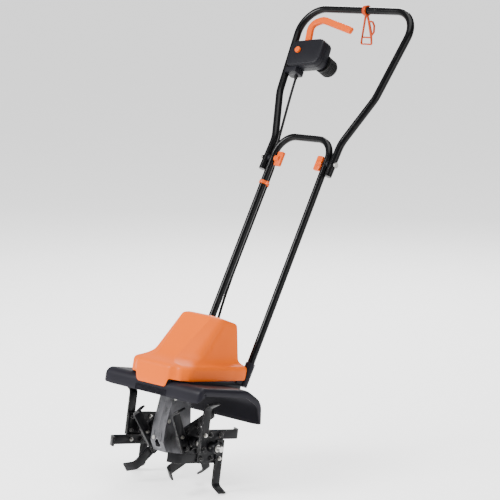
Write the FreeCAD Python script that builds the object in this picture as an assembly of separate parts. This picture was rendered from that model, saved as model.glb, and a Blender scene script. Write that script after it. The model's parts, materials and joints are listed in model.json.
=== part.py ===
import FreeCAD, Part
import math
import os

from FreeCAD import Vector

# Electric tiller. Millimetres. +Z up, +X to the machine's left-to-right shaft line, +Y towards the user.
# The origin is on the ground, straight below the middle of the tine shaft.

# ---- driving dimensions -------------------------------------------------------------------------
HEAD_TILT = 12.0           # the head leans back by this much, degrees
HANDLE_TILT = 30.0         # the handle plane leans back by this much, degrees
HANDLE_FOOT = (0.0, 153.0, 250.0)   # where the handle plane meets the sockets

# tubes of the handle
LOWER_OD = 19.0
UPPER_OD = 20.0
TUBE_WALL = 1.5
LOWER_HALF = 95.0          # half the spacing of the lower legs
LOWER_TOP = 670.0          # height of the lower arch up the handle plane
LOWER_CORNER = 55.0
SADDLE_GAP = 2.5           # gap between lower and upper leg at the bolt
BOLT_UP = 603.0            # height of the pivot bolts up the handle plane
UPPER_TAIL = 34.0          # upper leg below the bolt
UPPER_LEAN = 2.2           # the upper handle leans back from the lower one by this much, degrees
UPPER_STRAIGHT = 60.0      # upper leg above the bolt before it flares
UPPER_KNEE = 137.0         # height of the flare, up to the knee
UPPER_KNEE_OUT = 53.0      # how far the legs spread over the flare
UPPER_TOP = 1058.0
UPPER_TOP_HALF = 204.0     # half the width that the legs reach at the top
UPPER_CORNER = 70.0
UPPER_BEND = 90.0
BOLT_R = 3.0
BOLT_CLEAR = 0.3

# gearbox and drive
WHEEL_TEETH = 32
GEAR_MODULE = 2.0
WHEEL_FACE = 14.0
WORM_R = 9.0               # pitch radius of the worm
WORM_TURNS = 5
DRIVE_TILT = 16.0          # the motor leans back from the gearbox leg by this much, degrees
SHAFT_R = 9.0
CASE_HALF = 23.0           # half the width of the gearbox case
CASE_WALL = 4.0
CASE_TOP = 128.0           # top flange of the case above the shaft, over the blades' reach
CASE_KNEE = 26.0           # above this height the case's front face rakes back
CASE_RAKE = 15.0
CASE_DEPTH = 70.0          # front to back of the leg at its top
GEAR_CLEAR = 2.0
BEARING_W = 10.0
BEARING_R = 17.0
RUN = 0.05                 # radial running clearance

# motor
MOTOR_R = 42.0
MOTOR_START = 134.0        # along the drive axis, above the gearbox flange
MOTOR_LENGTH = 108.0
MOTOR_WALL = 3.0
ARMATURE_R = 24.0
FAN_R = 36.0
FAN_H = 14.0

# tines
STAR_INNER = 62.0          # plate of the inner star from the middle
STAR_OUTER = 130.0
PLATE_SIDE = 82.0
PLATE_T = 4.0
PLATE_CHAMFER = 5.0
BLADE_W = 24.0
BLADE_T = 5.0
BLADE_REACH = 112.6        # height of a blade's tip above the shaft, square to the plate's edge
BLADE_BEND_R = 14.0
BLADE_BEND = 62.0          # degrees
BLADE_TIP = 31.0
BLADE_BOLT_R = 4.0
BLADE_BOLTS = (-5.0, 29.0)   # along the blade, from the shaft's height
OUTER_TURN = -10.0         # how far each star stands turned, degrees
LEFT_INNER_TURN = 30.0
RIGHT_INNER_TURN = 18.0
HUB_R = 14.0
HUB_IN = 12.0              # hub sleeve on the inner side of its plate
HUB_OUT = 26.0             # and on the outer side
PIN_OUT = 16.0             # hub pin, outwards from the plate
TINE_SHAFT_HALF = 157.0
SHAFT_END_R = 7.0          # reduced free end outside the outer hub
SHAFT_END = 13.0
PIN_R = 2.5

# the shaft stands as high as the lowest corner of a blade reaches
AXLE_HEIGHT = (BLADE_REACH * math.cos(math.radians(OUTER_TURN))
               + PLATE_SIDE / 2 * math.sin(math.radians(-OUTER_TURN)))

# tray, hood and guard, in the head frame: height above the shaft, depth from the shaft
TRAY_HALF = 98.0
TRAY_FRONT = -88.0
TRAY_BACK = 122.0
TRAY_TOP = 166.0           # the tray's floor lies on the gearbox flange, at CASE_TOP
SHELL_WALL = 3.0
HOOD_HALF = 106.0
HOOD_FRONT = -96.0
HOOD_BACK = 130.0
HOOD_BOTTOM = 160.0
HOOD_FLANGE = 199.0
HOOD_FRONT_LOW = 182.0     # the shelf in front of the crown slopes down to this height
HOOD_TOP = 311.0
HOOD_WAIST_FRONT = -58.0
HOOD_WAIST_HALF = 86.0
HOOD_WAIST_BACK = 108.0
HOOD_TOP_HALF = 77.0
HOOD_TOP_FRONT = 14.0
HOOD_TOP_BACK = 97.0
HOOD_CORNER = 24.0
NOSE_HALF = 55.0           # the nose reaches down over the guard's lip
NOSE_OUT = 4.0             # and stands this far in front of it
NOSE_BOTTOM = 130.0
NOSE_TOP = 186.0
GUARD_HALF = 175.0
GUARD_FRONT = -105.0
GUARD_TOP = 148.0
GUARD_FLAT_BACK = 70.0
GUARD_BACK = 128.0
GUARD_BACK_LOW = 62.0
GUARD_LIP = 40.0
GUARD_SKIRT = 12.0
GUARD_CORNER = 26.0        # corners seen from above
GUARD_LIP_CORNER = 28.0    # lower corners seen from the front
GRILLE_PITCH = 7.5
GRILLE_SLOT = 4.0
GRILLE_SIDE = 7            # slots on each side of the middle one
SOCKET_WALL = 3.0
SOCKET_DEPTH = 48.0

# switch box, lever, inlet, hook, cable
BOX_DROP = 150.0           # middle of the box below the top bar
BOX_UP = UPPER_TOP - BOX_DROP
BOX_IN = 119.0
BOX_OUT = 4.0
BOX_HALF_H = 40.0
BOX_FRONT = -17.0
BOX_BACK = 24.0
BOX_SPLIT = 0.0            # the two halves meet in the tube's middle plane
BOX_CORNER = 20.0
BOX_WALL = 2.5
CLAMP_H = 15.0             # strap under the box, round the tube and the cable
BOX_TUBE_WALL = 14.0       # solid web beside the tube
LEVER_T = 12.0
LEVER_W = 20.0
LEVER_PIVOT = (50.0, 22.0)   # in the switch box, inwards and up
LEVER_PIN_R = 3.0
LEVER_RISE = (40.0, 96.0)    # corners of the lever's centre line
LEVER_CREST = (78.0, 107.0)
LEVER_END = (190.0, 62.0)
BUTTON_AT = (37.0, 7.0)
BUTTON_R = 8.5
BUTTON_PROUD = 6.0
INLET_R = 26.0
INLET_AT = (101.0, -17.0)    # inwards and up
INLET_OUT = 36.0
INLET_SPIGOT = 12.0
INLET_BORE = 17.0
INLET_RIBS = 4
PRONG_SPAN = 12.0
HOOK_X = 18.0
HOOK_WIRE = 4.0
HOOK_DROP = 91.0
HOOK_HALF = 20.0           # half the width of the hook's foot
CABLE_R = 3.5
CABLE_BACK = 17.0          # cable centre behind the tube's centre
CABLE_STOP = 18.0          # the cable's lower length ends this far below the bolts, for the fold
CABLE_START = 25.0         # and the upper length starts this far above them
CABLE_IN = 26.0            # where the cable leaves the box, inwards from the leg
CLIP_UP = 532.0
CLIP_W = 9.0
HOOD_ENTRY = (-62.0, HOOD_BACK, 180.0)   # where the cable enters the hood, in the head frame

AXIS_X = Vector(1, 0, 0)
AXIS_Y = Vector(0, 1, 0)
AXIS_Z = Vector(0, 0, 1)
ORIGIN = Vector(0, 0, 0)

PARTS = {}


# ---- frames --------------------------------------------------------------------------------------
def head(shape):
    """Head frame to the part's frame: origin on the shaft, +Z up the gearbox leg."""
    placed = shape.copy()
    placed.rotate(ORIGIN, AXIS_X, -HEAD_TILT)
    placed.translate(Vector(0, 0, AXLE_HEIGHT))
    return placed


def handle(shape):
    """Handle frame to the part's frame: +Z up the handle plane, +Y behind it."""
    placed = shape.copy()
    placed.rotate(ORIGIN, AXIS_X, -HANDLE_TILT)
    placed.translate(Vector(*HANDLE_FOOT))
    return placed


def upper(shape):
    """Upper handle frame to the part's frame: as the handle frame, leaning back about the bolts."""
    placed = shape.copy()
    placed.rotate(Vector(0, 0, BOLT_UP), AXIS_X, -UPPER_LEAN)
    return handle(placed)


def drive(shape):
    """Drive frame to the part's frame: +Z along the motor axis, origin abreast of the shaft."""
    placed = shape.copy()
    placed.translate(Vector(0, -worm_distance(), 0))
    placed.rotate(ORIGIN, AXIS_X, -DRIVE_TILT)
    return head(placed)


def switch_frame(shape):
    """Switch box frame to the part's frame: +X inwards from the leg, +Z up the leg."""
    placed = shape.copy()
    placed.rotate(ORIGIN, AXIS_Y, -flare_angle())
    placed.translate(Vector(-flare_x(BOX_UP), 0, BOX_UP))
    return upper(placed)


# ---- derived sizes -------------------------------------------------------------------------------
def worm_distance():
    return WHEEL_TEETH * GEAR_MODULE / 2 + WORM_R


def upper_half():
    """Half the spacing of the upper legs at the bolts."""
    return LOWER_HALF + (LOWER_OD + UPPER_OD) / 2 + SADDLE_GAP


def flare_start():
    return BOLT_UP + UPPER_STRAIGHT


def knee():
    """Half spacing and height of the knee, where the legs turn up again."""
    return upper_half() + UPPER_KNEE_OUT, flare_start() + UPPER_KNEE


def flare_angle():
    """Lean of the legs above the knee, seen from the front, degrees."""
    knee_half, knee_up = knee()
    return math.degrees(math.atan2(UPPER_TOP_HALF - knee_half, UPPER_TOP - knee_up))


def flare_x(up):
    """Distance of the upper leg's centre from the middle, at a height on its flare or above."""
    knee_half, knee_up = knee()
    if up < knee_up:
        return upper_half() + (up - flare_start()) * UPPER_KNEE_OUT / UPPER_KNEE
    return knee_half + (up - knee_up) * math.tan(math.radians(flare_angle()))


# ---- shape helpers -------------------------------------------------------------------------------
def box(x0, x1, y0, y1, z0, z1):
    return Part.makeBox(x1 - x0, y1 - y0, z1 - z0, Vector(x0, y0, z0))


def rod(radius, start, end):
    start = Vector(*start)
    end = Vector(*end)
    way = end - start
    return Part.makeCylinder(radius, way.Length, start, way)


def ring(outer, inner, start, end):
    return rod(outer, start, end).cut(rod(inner, start, end))


def fuse(shapes):
    shapes = list(shapes)
    body = shapes[0]
    if len(shapes) > 1:
        body = shapes[0].multiFuse(shapes[1:])
    return body.removeSplitter()


def keep(name, *shapes):
    """Stores one node: a solid, or a group of separate solids."""
    solids = []
    for shape in shapes:
        solids.extend(shape.Solids)
    PARTS[name] = Part.makeCompound(solids)


def prism(points, axis_shift):
    """Extrudes a closed polygon of vectors by a vector."""
    corners = [Vector(*p) for p in points]
    wire = Part.makePolygon(corners + [corners[0]])
    return Part.Face(wire).extrude(Vector(*axis_shift))


def rounded_path(points, radii):
    """A wire of straight runs joined by tangent arcs. radii holds one radius for each inner point."""
    points = [Vector(*p) for p in points]
    edges = []
    start = points[0]
    for before, corner, after, radius in zip(points, points[1:], points[2:], radii):
        way_in = (corner - before).normalize()
        way_out = (after - corner).normalize()
        turn = way_in.getAngle(way_out)
        setback = radius * math.tan(turn / 2)
        arc_start = corner - way_in * setback
        arc_end = corner + way_out * setback
        middle = (way_out - way_in).normalize()
        centre = corner + middle * (radius / math.cos(turn / 2))
        edges.append(Part.LineSegment(start, arc_start).toShape())
        edges.append(Part.Arc(arc_start, centre - middle * radius, arc_end).toShape())
        start = arc_end
    edges.append(Part.LineSegment(start, points[-1]).toShape())
    return Part.Wire(edges)


def swept(path, section):
    return path.makePipeShell([section], True, False, 2)


def round_section(path, radius):
    start = path.Edges[0].valueAt(path.Edges[0].FirstParameter)
    way = path.Edges[0].tangentAt(path.Edges[0].FirstParameter)
    return Part.Wire([Part.makeCircle(radius, start, way)])


def tube_along(path, radius, wall=0.0):
    outer = swept(path, round_section(path, radius))
    if not wall:
        return outer
    return outer.cut(swept(path, round_section(path, radius - wall)))


def slab(half, front, back, bottom, top, corner):
    """An upright block with rounded vertical corners, centred on X = 0."""
    body = box(-half, half, front, back, bottom, top)
    upright = [e for e in body.Edges if abs(e.tangentAt(e.FirstParameter).z) > 0.99]
    return body.makeFillet(corner, upright)


# ---- gears ---------------------------------------------------------------------------------------
def worm_wheel():
    """A spur-like wheel with trapezoid teeth, turning about X."""
    pitch_r = WHEEL_TEETH * GEAR_MODULE / 2
    tip_r = pitch_r + GEAR_MODULE * 0.9
    root_r = pitch_r - GEAR_MODULE * 1.25
    step = 2 * math.pi / WHEEL_TEETH
    corners = []
    for tooth in range(WHEEL_TEETH):
        middle = tooth * step + math.pi
        for share, radius in ((-0.30, root_r), (-0.13, tip_r), (0.13, tip_r), (0.30, root_r)):
            angle = middle + share * step
            corners.append((-WHEEL_FACE / 2, radius * math.cos(angle), radius * math.sin(angle)))
    blank = prism(corners, (WHEEL_FACE, 0, 0))
    blank = blank.cut(rod(SHAFT_R, (-WHEEL_FACE, 0, 0), (WHEEL_FACE, 0, 0)))
    return blank


def worm():
    """A right-hand single-start worm with the thread's gap facing the wheel's tooth."""
    pitch = math.pi * GEAR_MODULE
    core_r = WORM_R - GEAR_MODULE * 1.2
    crest_r = WORM_R + GEAR_MODULE * 0.9
    height = pitch * WORM_TURNS
    helix = Part.makeHelix(pitch, height, core_r)
    foot = pitch * 0.30
    crest = pitch * 0.11
    sunk = 0.4
    section = Part.makePolygon([
        Vector(core_r - sunk, 0, -foot),
        Vector(crest_r, 0, -crest),
        Vector(crest_r, 0, crest),
        Vector(core_r - sunk, 0, foot),
        Vector(core_r - sunk, 0, -foot),
    ])
    thread = Part.Wire(helix.Edges).makePipeShell([section], True, True)
    # At the wheel, on the worm's +Y side, a gap stands at mid height.
    quarter_turn = pitch / 4
    thread.translate(Vector(0, 0, -pitch * (WORM_TURNS // 2) - quarter_turn - pitch / 2))
    core = rod(core_r, (0, 0, -height / 2 - 3), (0, 0, height / 2 + 3))
    return core.fuse(thread)


# ---- gearbox -------------------------------------------------------------------------------------
def gearbox():
    wheel_tip = WHEEL_TEETH * GEAR_MODULE / 2 + GEAR_MODULE
    case_r = wheel_tip + GEAR_CLEAR + CASE_WALL
    worm_tip = WORM_R + GEAR_MODULE
    front = -(worm_distance() + worm_tip + CASE_WALL + 1.0)
    back_top = front + CASE_DEPTH
    outline = [
        (-CASE_HALF, front, -12.0),
        (-CASE_HALF, front + 16.0, -case_r + 3.0),
        (-CASE_HALF, 0.0, -case_r + 3.0),
        (-CASE_HALF, 0.0, 0.0),
        (-CASE_HALF, case_r * 0.8, case_r * 0.55),
        (-CASE_HALF, back_top, CASE_TOP),
        (-CASE_HALF, front + CASE_RAKE, CASE_TOP),
        (-CASE_HALF, front, CASE_KNEE),
    ]
    leg = prism(outline, (2 * CASE_HALF, 0, 0))
    foot = rod(case_r, (-CASE_HALF, 0, 0), (CASE_HALF, 0, 0))
    case = leg.fuse(foot)
    flange = slab(CASE_HALF + 17, front + 2, back_top + 14, CASE_TOP - 6, CASE_TOP, 12.0)
    case = case.fuse(flange)
    hollow_half = CASE_HALF - CASE_WALL - BEARING_W - 1.0
    hollow = rod(wheel_tip + GEAR_CLEAR, (-hollow_half, 0, 0), (hollow_half, 0, 0))
    worm_room = rod(worm_tip + 1.0, (0, 0, -30), (0, 0, 60))
    shaft_room = rod(9.5, (0, 0, -38), (0, 0, CASE_TOP + 60))
    bearing_seat = rod(15.0, (0, 0, 60), (0, 0, 72))
    for room in (worm_room, shaft_room, bearing_seat):
        room.translate(Vector(0, -worm_distance(), 0))
        room.rotate(ORIGIN, AXIS_X, -DRIVE_TILT)
        hollow = hollow.fuse(room)
    for side in (-1, 1):
        inner = side * hollow_half
        hollow = hollow.fuse(rod(BEARING_R, (inner, 0, 0), (inner + side * BEARING_W, 0, 0)))
        hollow = hollow.fuse(rod(SHAFT_R + 4, (inner, 0, 0), (side * (CASE_HALF + 1), 0, 0)))
    case = case.cut(hollow)
    reach = CASE_HALF + 20
    keep("gearbox_left", head(case.common(box(-reach, 0, -200, 200, -200, 200))))
    keep("gearbox_right", head(case.common(box(0, reach, -200, 200, -200, 200))))

    bearings = []
    seals = []
    for side in (-1, 1):
        inner = side * hollow_half
        outer = inner + side * BEARING_W
        bearings.append(ring(BEARING_R, SHAFT_R, (inner, 0, 0), (outer, 0, 0)))
        seals.append(ring(SHAFT_R + 4, SHAFT_R, (outer + side * 1, 0, 0), (side * CASE_HALF, 0, 0)))
    keep("shaft_bearings", *[head(b) for b in bearings])
    keep("shaft_seals", *[head(s) for s in seals])

    screws = []
    for at_y, at_z in ((front + 10.0, 42.0), (front + 20.0, 100.0), (back_top - 12.0, 100.0), (22.0, -29.0)):
        head_end = CASE_HALF + 3.0
        screw = fuse([rod(4.5, (CASE_HALF, at_y, at_z), (head_end, at_y, at_z)),
                      rod(2.5, (CASE_HALF - 16, at_y, at_z), (head_end, at_y, at_z))])
        socket = rod(2.0, (head_end - 2, at_y, at_z), (head_end + 1, at_y, at_z))
        screws.append(screw.cut(socket))
    screws = [head(screw) for screw in screws]
    keep("gearbox_right", PARTS["gearbox_right"].cut(screws))
    keep("gearbox_screws", *screws)
    plug = head(rod(5.0, (-CASE_HALF / 2, front - 2.5, -4.0), (-CASE_HALF / 2, front + 1.5, -4.0)))
    keep("gearbox_left", PARTS["gearbox_left"].cut(plug))
    keep("oil_plug", plug)


# ---- drive ---------------------------------------------------------------------------------------
def motor():
    end = MOTOR_START + MOTOR_LENGTH
    can = ring(MOTOR_R, MOTOR_R - MOTOR_WALL, (0, 0, MOTOR_START), (0, 0, end))
    floor = ring(MOTOR_R, 10.0, (0, 0, MOTOR_START), (0, 0, MOTOR_START + 5))
    roof = ring(MOTOR_R, 10.0, (0, 0, end - 5), (0, 0, end))
    can = fuse([can, floor, roof])
    for turn in range(6):
        slot = rod(5.0, (0, 20, end - 14), (0, MOTOR_R + 10, end - 14))
        slot.rotate(ORIGIN, AXIS_Z, turn * 60 + 30)
        can = can.cut(slot)
    keep("motor_can", drive(can))
    stator = ring(MOTOR_R - MOTOR_WALL, ARMATURE_R + 1, (0, 0, MOTOR_START + 22), (0, 0, end - 40))
    keep("motor_field", drive(stator))
    keep("motor_bearings",
         drive(ring(9.95, 5.0, (0, 0, MOTOR_START), (0, 0, MOTOR_START + 5))),
         drive(ring(9.95, 5.0, (0, 0, end - 5), (0, 0, end))),
         drive(ring(15.0, 5.0, (0, 0, 61), (0, 0, 71))))
    shaft = fuse([worm(), rod(5.0 - RUN, (0, 0, 15), (0, 0, end + FAN_H + 4))])
    keep("worm_shaft", drive(shaft))
    stack = ring(ARMATURE_R, 5.0, (0, 0, MOTOR_START + 25), (0, 0, end - 44))
    for turn in range(12):
        slot = box(-1.5, 1.5, ARMATURE_R - 5, ARMATURE_R + 1, MOTOR_START + 24, end - 43)
        slot.rotate(ORIGIN, AXIS_Z, turn * 30)
        stack = stack.cut(slot)
    keep("motor_armature", drive(stack))
    keep("commutator", drive(ring(11.0, 5.0, (0, 0, end - 38), (0, 0, end - 22))))
    brushes = []
    for side in (-1, 1):
        brushes.append(drive(box(min(side * 11.4, side * 30), max(side * 11.4, side * 30),
                                 -3, 3, end - 35, end - 25)))
    keep("motor_brushes", *brushes)
    fan = ring(9.0, 5.0, (0, 0, end + 3), (0, 0, end + 3 + FAN_H))
    disc = ring(FAN_R, 5.0, (0, 0, end + 3), (0, 0, end + 5))
    blades = [fan, disc]
    for turn in range(9):
        blade = box(8.0, FAN_R - 1, -1, 1, end + 4, end + 3 + FAN_H)
        blade.rotate(ORIGIN, AXIS_Z, turn * 40)
        blades.append(blade)
    keep("cooling_fan", drive(fuse(blades)))


# ---- tines ---------------------------------------------------------------------------------------
def blade(side):
    """One blade up +Z, flush with the plate's -Y edge, its tip bent towards side."""
    bend = math.radians(BLADE_BEND)
    rise = BLADE_BEND_R * math.sin(bend) + (BLADE_TIP - BLADE_T) * math.cos(bend)
    straight = BLADE_REACH - rise
    corner = straight + BLADE_BEND_R * math.tan(bend / 2)
    root = -(PLATE_SIDE / 2 - BLADE_W) + RUN
    middle = blade_offset()
    path = rounded_path([
        (0, middle, root),
        (0, middle, corner),
        (side * BLADE_TIP * math.sin(bend), middle, corner + BLADE_TIP * math.cos(bend)),
    ], [BLADE_BEND_R])
    half = BLADE_T / 2
    near = middle - BLADE_W / 2
    far = middle + BLADE_W / 2
    section = Part.makePolygon([
        Vector(-half, near, root),
        Vector(half, near, root),
        Vector(half, far, root),
        Vector(-half, far, root),
        Vector(-half, near, root),
    ])
    bar = swept(path, section)
    over = box(-80, 80, near - 1, far + 1, BLADE_REACH, BLADE_REACH + 60)
    return bar.cut(over)


def blade_offset():
    """Where a blade's middle lies beside the shaft, so that its edge is flush with the plate's."""
    return -(PLATE_SIDE - BLADE_W) / 2


def star(name, at_x, turn, sides):
    """One star: a square plate on a hub with four blades, each tip bent to its own side."""
    outward = 1 if at_x > 0 else -1
    half = PLATE_SIDE / 2
    plate = box(at_x - PLATE_T / 2, at_x + PLATE_T / 2, -half, half, -half, half)
    edges = [e for e in plate.Edges if abs(e.tangentAt(e.FirstParameter).x) > 0.99]
    plate = plate.makeChamfer(PLATE_CHAMFER, edges)
    sleeve = rod(HUB_R, (at_x - outward * HUB_IN, 0, 0), (at_x + outward * HUB_OUT, 0, 0))
    hub = plate.fuse(sleeve)
    hub = hub.cut(rod(SHAFT_R, (at_x - 40, 0, 0), (at_x + 40, 0, 0)))
    pin_x = at_x + outward * PIN_OUT
    hub = hub.cut(rod(PIN_R + 0.1, (pin_x, -40, 0), (pin_x, 40, 0)))
    hub.rotate(ORIGIN, AXIS_X, turn)
    group = []
    bolts = []
    for quarter in range(4):
        angle = turn + quarter * 90.0
        side = sides[quarter]
        blade_x = at_x + side * (PLATE_T + BLADE_T) / 2
        one = blade(side)
        one.translate(Vector(blade_x, 0, 0))
        clamp_near = at_x - side * PLATE_T / 2
        clamp_far = blade_x + side * BLADE_T / 2
        middle = blade_offset()
        holes = []
        for up in BLADE_BOLTS:
            holes.append(rod(BLADE_BOLT_R + 0.1, (at_x - 20, middle, up), (at_x + 20, middle, up)))
            bolt = fuse([
                rod(7.0, (clamp_far, middle, up), (clamp_far + side * 4.5, middle, up)),
                rod(BLADE_BOLT_R, (clamp_near - side * 6.5, middle, up), (clamp_far, middle, up)),
                rod(6.5, (clamp_near, middle, up), (clamp_near - side * 5.0, middle, up)),
            ])
            bolt.rotate(ORIGIN, AXIS_X, angle)
            bolts.append(bolt)
        one = one.cut(holes)
        one.rotate(ORIGIN, AXIS_X, angle)
        for hole in holes:
            hole.rotate(ORIGIN, AXIS_X, angle)
        hub = hub.cut(holes)
        group.append(one)
    pin = fuse([rod(PIN_R, (pin_x, -HUB_R - 5, 0), (pin_x, HUB_R + 5, 0)),
                rod(PIN_R + 1.5, (pin_x, HUB_R, 0), (pin_x, HUB_R + 3, 0))])
    pin.rotate(ORIGIN, AXIS_X, turn)
    keep("hub_" + name, on_shaft(hub))
    keep("tines_" + name, *[on_shaft(one) for one in group])
    return [on_shaft(bolt) for bolt in bolts], on_shaft(pin), pin_x


def on_shaft(shape):
    placed = shape.copy()
    placed.translate(Vector(0, 0, AXLE_HEIGHT))
    return placed


def tine_stars():
    bolts = []
    pins = []
    shaft = rod(SHAFT_R - RUN, (-TINE_SHAFT_HALF, 0, 0), (TINE_SHAFT_HALF, 0, 0))
    for name, at_x, turn, sides in (("left_outer", -STAR_OUTER, OUTER_TURN, (-1, 1, -1, 1)),
                                    ("left_inner", -STAR_INNER, LEFT_INNER_TURN, (1, -1, 1, -1)),
                                    ("right_inner", STAR_INNER, RIGHT_INNER_TURN, (1, 1, -1, -1)),
                                    ("right_outer", STAR_OUTER, OUTER_TURN, (1, -1, 1, -1))):
        star_bolts, pin, pin_x = star(name, at_x, turn, sides)
        bolts.extend(star_bolts)
        pins.append(pin)
        hole = rod(PIN_R + 0.1, (pin_x, -40, 0), (pin_x, 40, 0))
        hole.rotate(ORIGIN, AXIS_X, turn)
        shaft = shaft.cut(hole)
    for side in (-1, 1):
        hub_end = side * TINE_SHAFT_HALF
        shaft = shaft.fuse(rod(SHAFT_END_R, (hub_end, 0, 0), (hub_end + side * SHAFT_END, 0, 0)))
    keep("tine_shaft", on_shaft(shaft))
    keep("tine_bolts", *bolts)
    keep("hub_pins", *pins)
    wheel = worm_wheel()
    wheel.rotate(ORIGIN, AXIS_X, -DRIVE_TILT)
    keep("worm_wheel", head(wheel))


# ---- tray, guard and hood ------------------------------------------------------------------------
def guard_profile(inset):
    """Side outline of the guard's solid, in the head frame, from front lip to rear edge."""
    return [
        (GUARD_FRONT + inset, GUARD_TOP - GUARD_LIP),
        (GUARD_FRONT + inset, GUARD_TOP - inset),
        (GUARD_FLAT_BACK, GUARD_TOP - inset),
        ((GUARD_FLAT_BACK + GUARD_BACK) / 2 + 8 - inset, GUARD_TOP - 18 - inset),
        (GUARD_BACK - inset, GUARD_TOP - 48),
        (GUARD_BACK - inset, GUARD_BACK_LOW),
    ]


def guard():
    wall = SHELL_WALL
    floor = GUARD_BACK_LOW - 40.0
    outer = guard_profile(0.0)
    block = prism([(-GUARD_HALF, y, z) for y, z in outer], (2 * GUARD_HALF, 0, 0))
    inner = guard_profile(wall)
    inner = [(inner[0][0], floor)] + inner + [(inner[-1][0], floor)]
    inside = prism([(-GUARD_HALF + wall, y, z) for y, z in inner], (2 * (GUARD_HALF - wall), 0, 0))
    # The end walls stop at a short skirt, which leaves the tines open to the side.
    skirt = guard_profile(GUARD_SKIRT)
    skirt = [(skirt[0][0], floor)] + skirt + [(skirt[-1][0], floor)]
    side = prism([(-GUARD_HALF - 1, y, z) for y, z in skirt], (2 * GUARD_HALF + 2, 0, 0))
    shell = block.cut(inside).cut(side)
    # Rounded corners, seen from above and from the front and the back.
    trim = box(-GUARD_HALF - 5, GUARD_HALF + 5, GUARD_FRONT - 5, GUARD_BACK + 5, 0, 200)
    rounded = slab(GUARD_HALF, GUARD_FRONT, GUARD_BACK, 0, 200, GUARD_CORNER)
    shell = shell.cut(trim.cut(rounded))
    for y0, y1, low in ((GUARD_FRONT - 1, GUARD_FRONT + GUARD_CORNER, GUARD_TOP - GUARD_LIP),
                        (GUARD_BACK - GUARD_CORNER, GUARD_BACK + 1, GUARD_BACK_LOW)):
        end = box(-GUARD_HALF - 1, GUARD_HALF + 1, y0, y1, low - 1, 220)
        kept = box(-GUARD_HALF - 1, GUARD_HALF + 1, y0, y1, low, 220)
        lower = [e for e in kept.Edges if abs(e.tangentAt(e.FirstParameter).y) > 0.99
                 and e.BoundBox.ZMax < low + 1]
        shell = shell.cut(end.cut(kept.makeFillet(GUARD_LIP_CORNER, lower)))
    # The nose of the hood stands in a notch, and the grille is under it.
    notch_low = NOSE_BOTTOM - 1.5
    shell = shell.cut(box(-NOSE_HALF - 1.5, NOSE_HALF + 1.5, GUARD_FRONT - 1, HOOD_FRONT + 4,
                          notch_low, GUARD_TOP + 1))
    for number in range(-GRILLE_SIDE, GRILLE_SIDE + 1):
        at_x = number * GRILLE_PITCH
        slot = box(at_x - GRILLE_SLOT / 2, at_x + GRILLE_SLOT / 2, GUARD_FRONT - 5,
                   GUARD_FRONT + wall + 5, GUARD_TOP - GUARD_LIP + 3, notch_low - 3)
        shell = shell.cut(slot)
    opening = slab(TRAY_HALF + 0.3, TRAY_FRONT + 6, TRAY_BACK - 0.3, 80, 200, 18.0)
    shell = shell.cut(opening)
    keep("tine_guard", head(shell))


def tray():
    wall = SHELL_WALL
    front = TRAY_FRONT + 6.3
    back = TRAY_BACK - 0.6
    outer = slab(TRAY_HALF, front, back, CASE_TOP, TRAY_TOP, 17.7)
    inner = slab(TRAY_HALF - wall, front + wall, back - wall, CASE_TOP + wall, TRAY_TOP + 5, 14.7)
    body = outer.cut(inner)
    flange = slab(TRAY_HALF + 6, front - 4, back + 4, GUARD_TOP + 0.2, GUARD_TOP + 3.2, 22.0)
    body = body.fuse(flange.cut(inner))
    # The motor and the gearbox neck pass through the floor.
    passage = rod(MOTOR_R + 1.0, (0, 0, 60), (0, 0, MOTOR_START + 60))
    passage.translate(Vector(0, -worm_distance(), 0))
    passage.rotate(ORIGIN, AXIS_X, -DRIVE_TILT)
    body = body.cut(passage)
    body = head(body)
    sockets = []
    for side in (-1, 1):
        bore = rod(LOWER_OD / 2, (side * LOWER_HALF, 0, 0), (side * LOWER_HALF, 0, SOCKET_DEPTH + 5))
        sockets.append(handle(socket_blank(side, 0.0).cut(bore)))
        body = body.cut(handle(socket_blank(side, 0.0)))
    keep("base_tray", body)
    keep("handle_sockets", *sockets)


def socket_blank(side, gap):
    """The outside of one handle socket with its web, grown by a gap."""
    at_x = side * LOWER_HALF
    sleeve = rod(LOWER_OD / 2 + SOCKET_WALL + gap, (at_x, 0, -14 - gap), (at_x, 0, SOCKET_DEPTH + gap))
    web = box(at_x - 6 - gap, at_x + 6 + gap, -30 - gap, 0, -14 - gap, SOCKET_DEPTH - 22 + gap)
    return sleeve.fuse(web)


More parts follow.
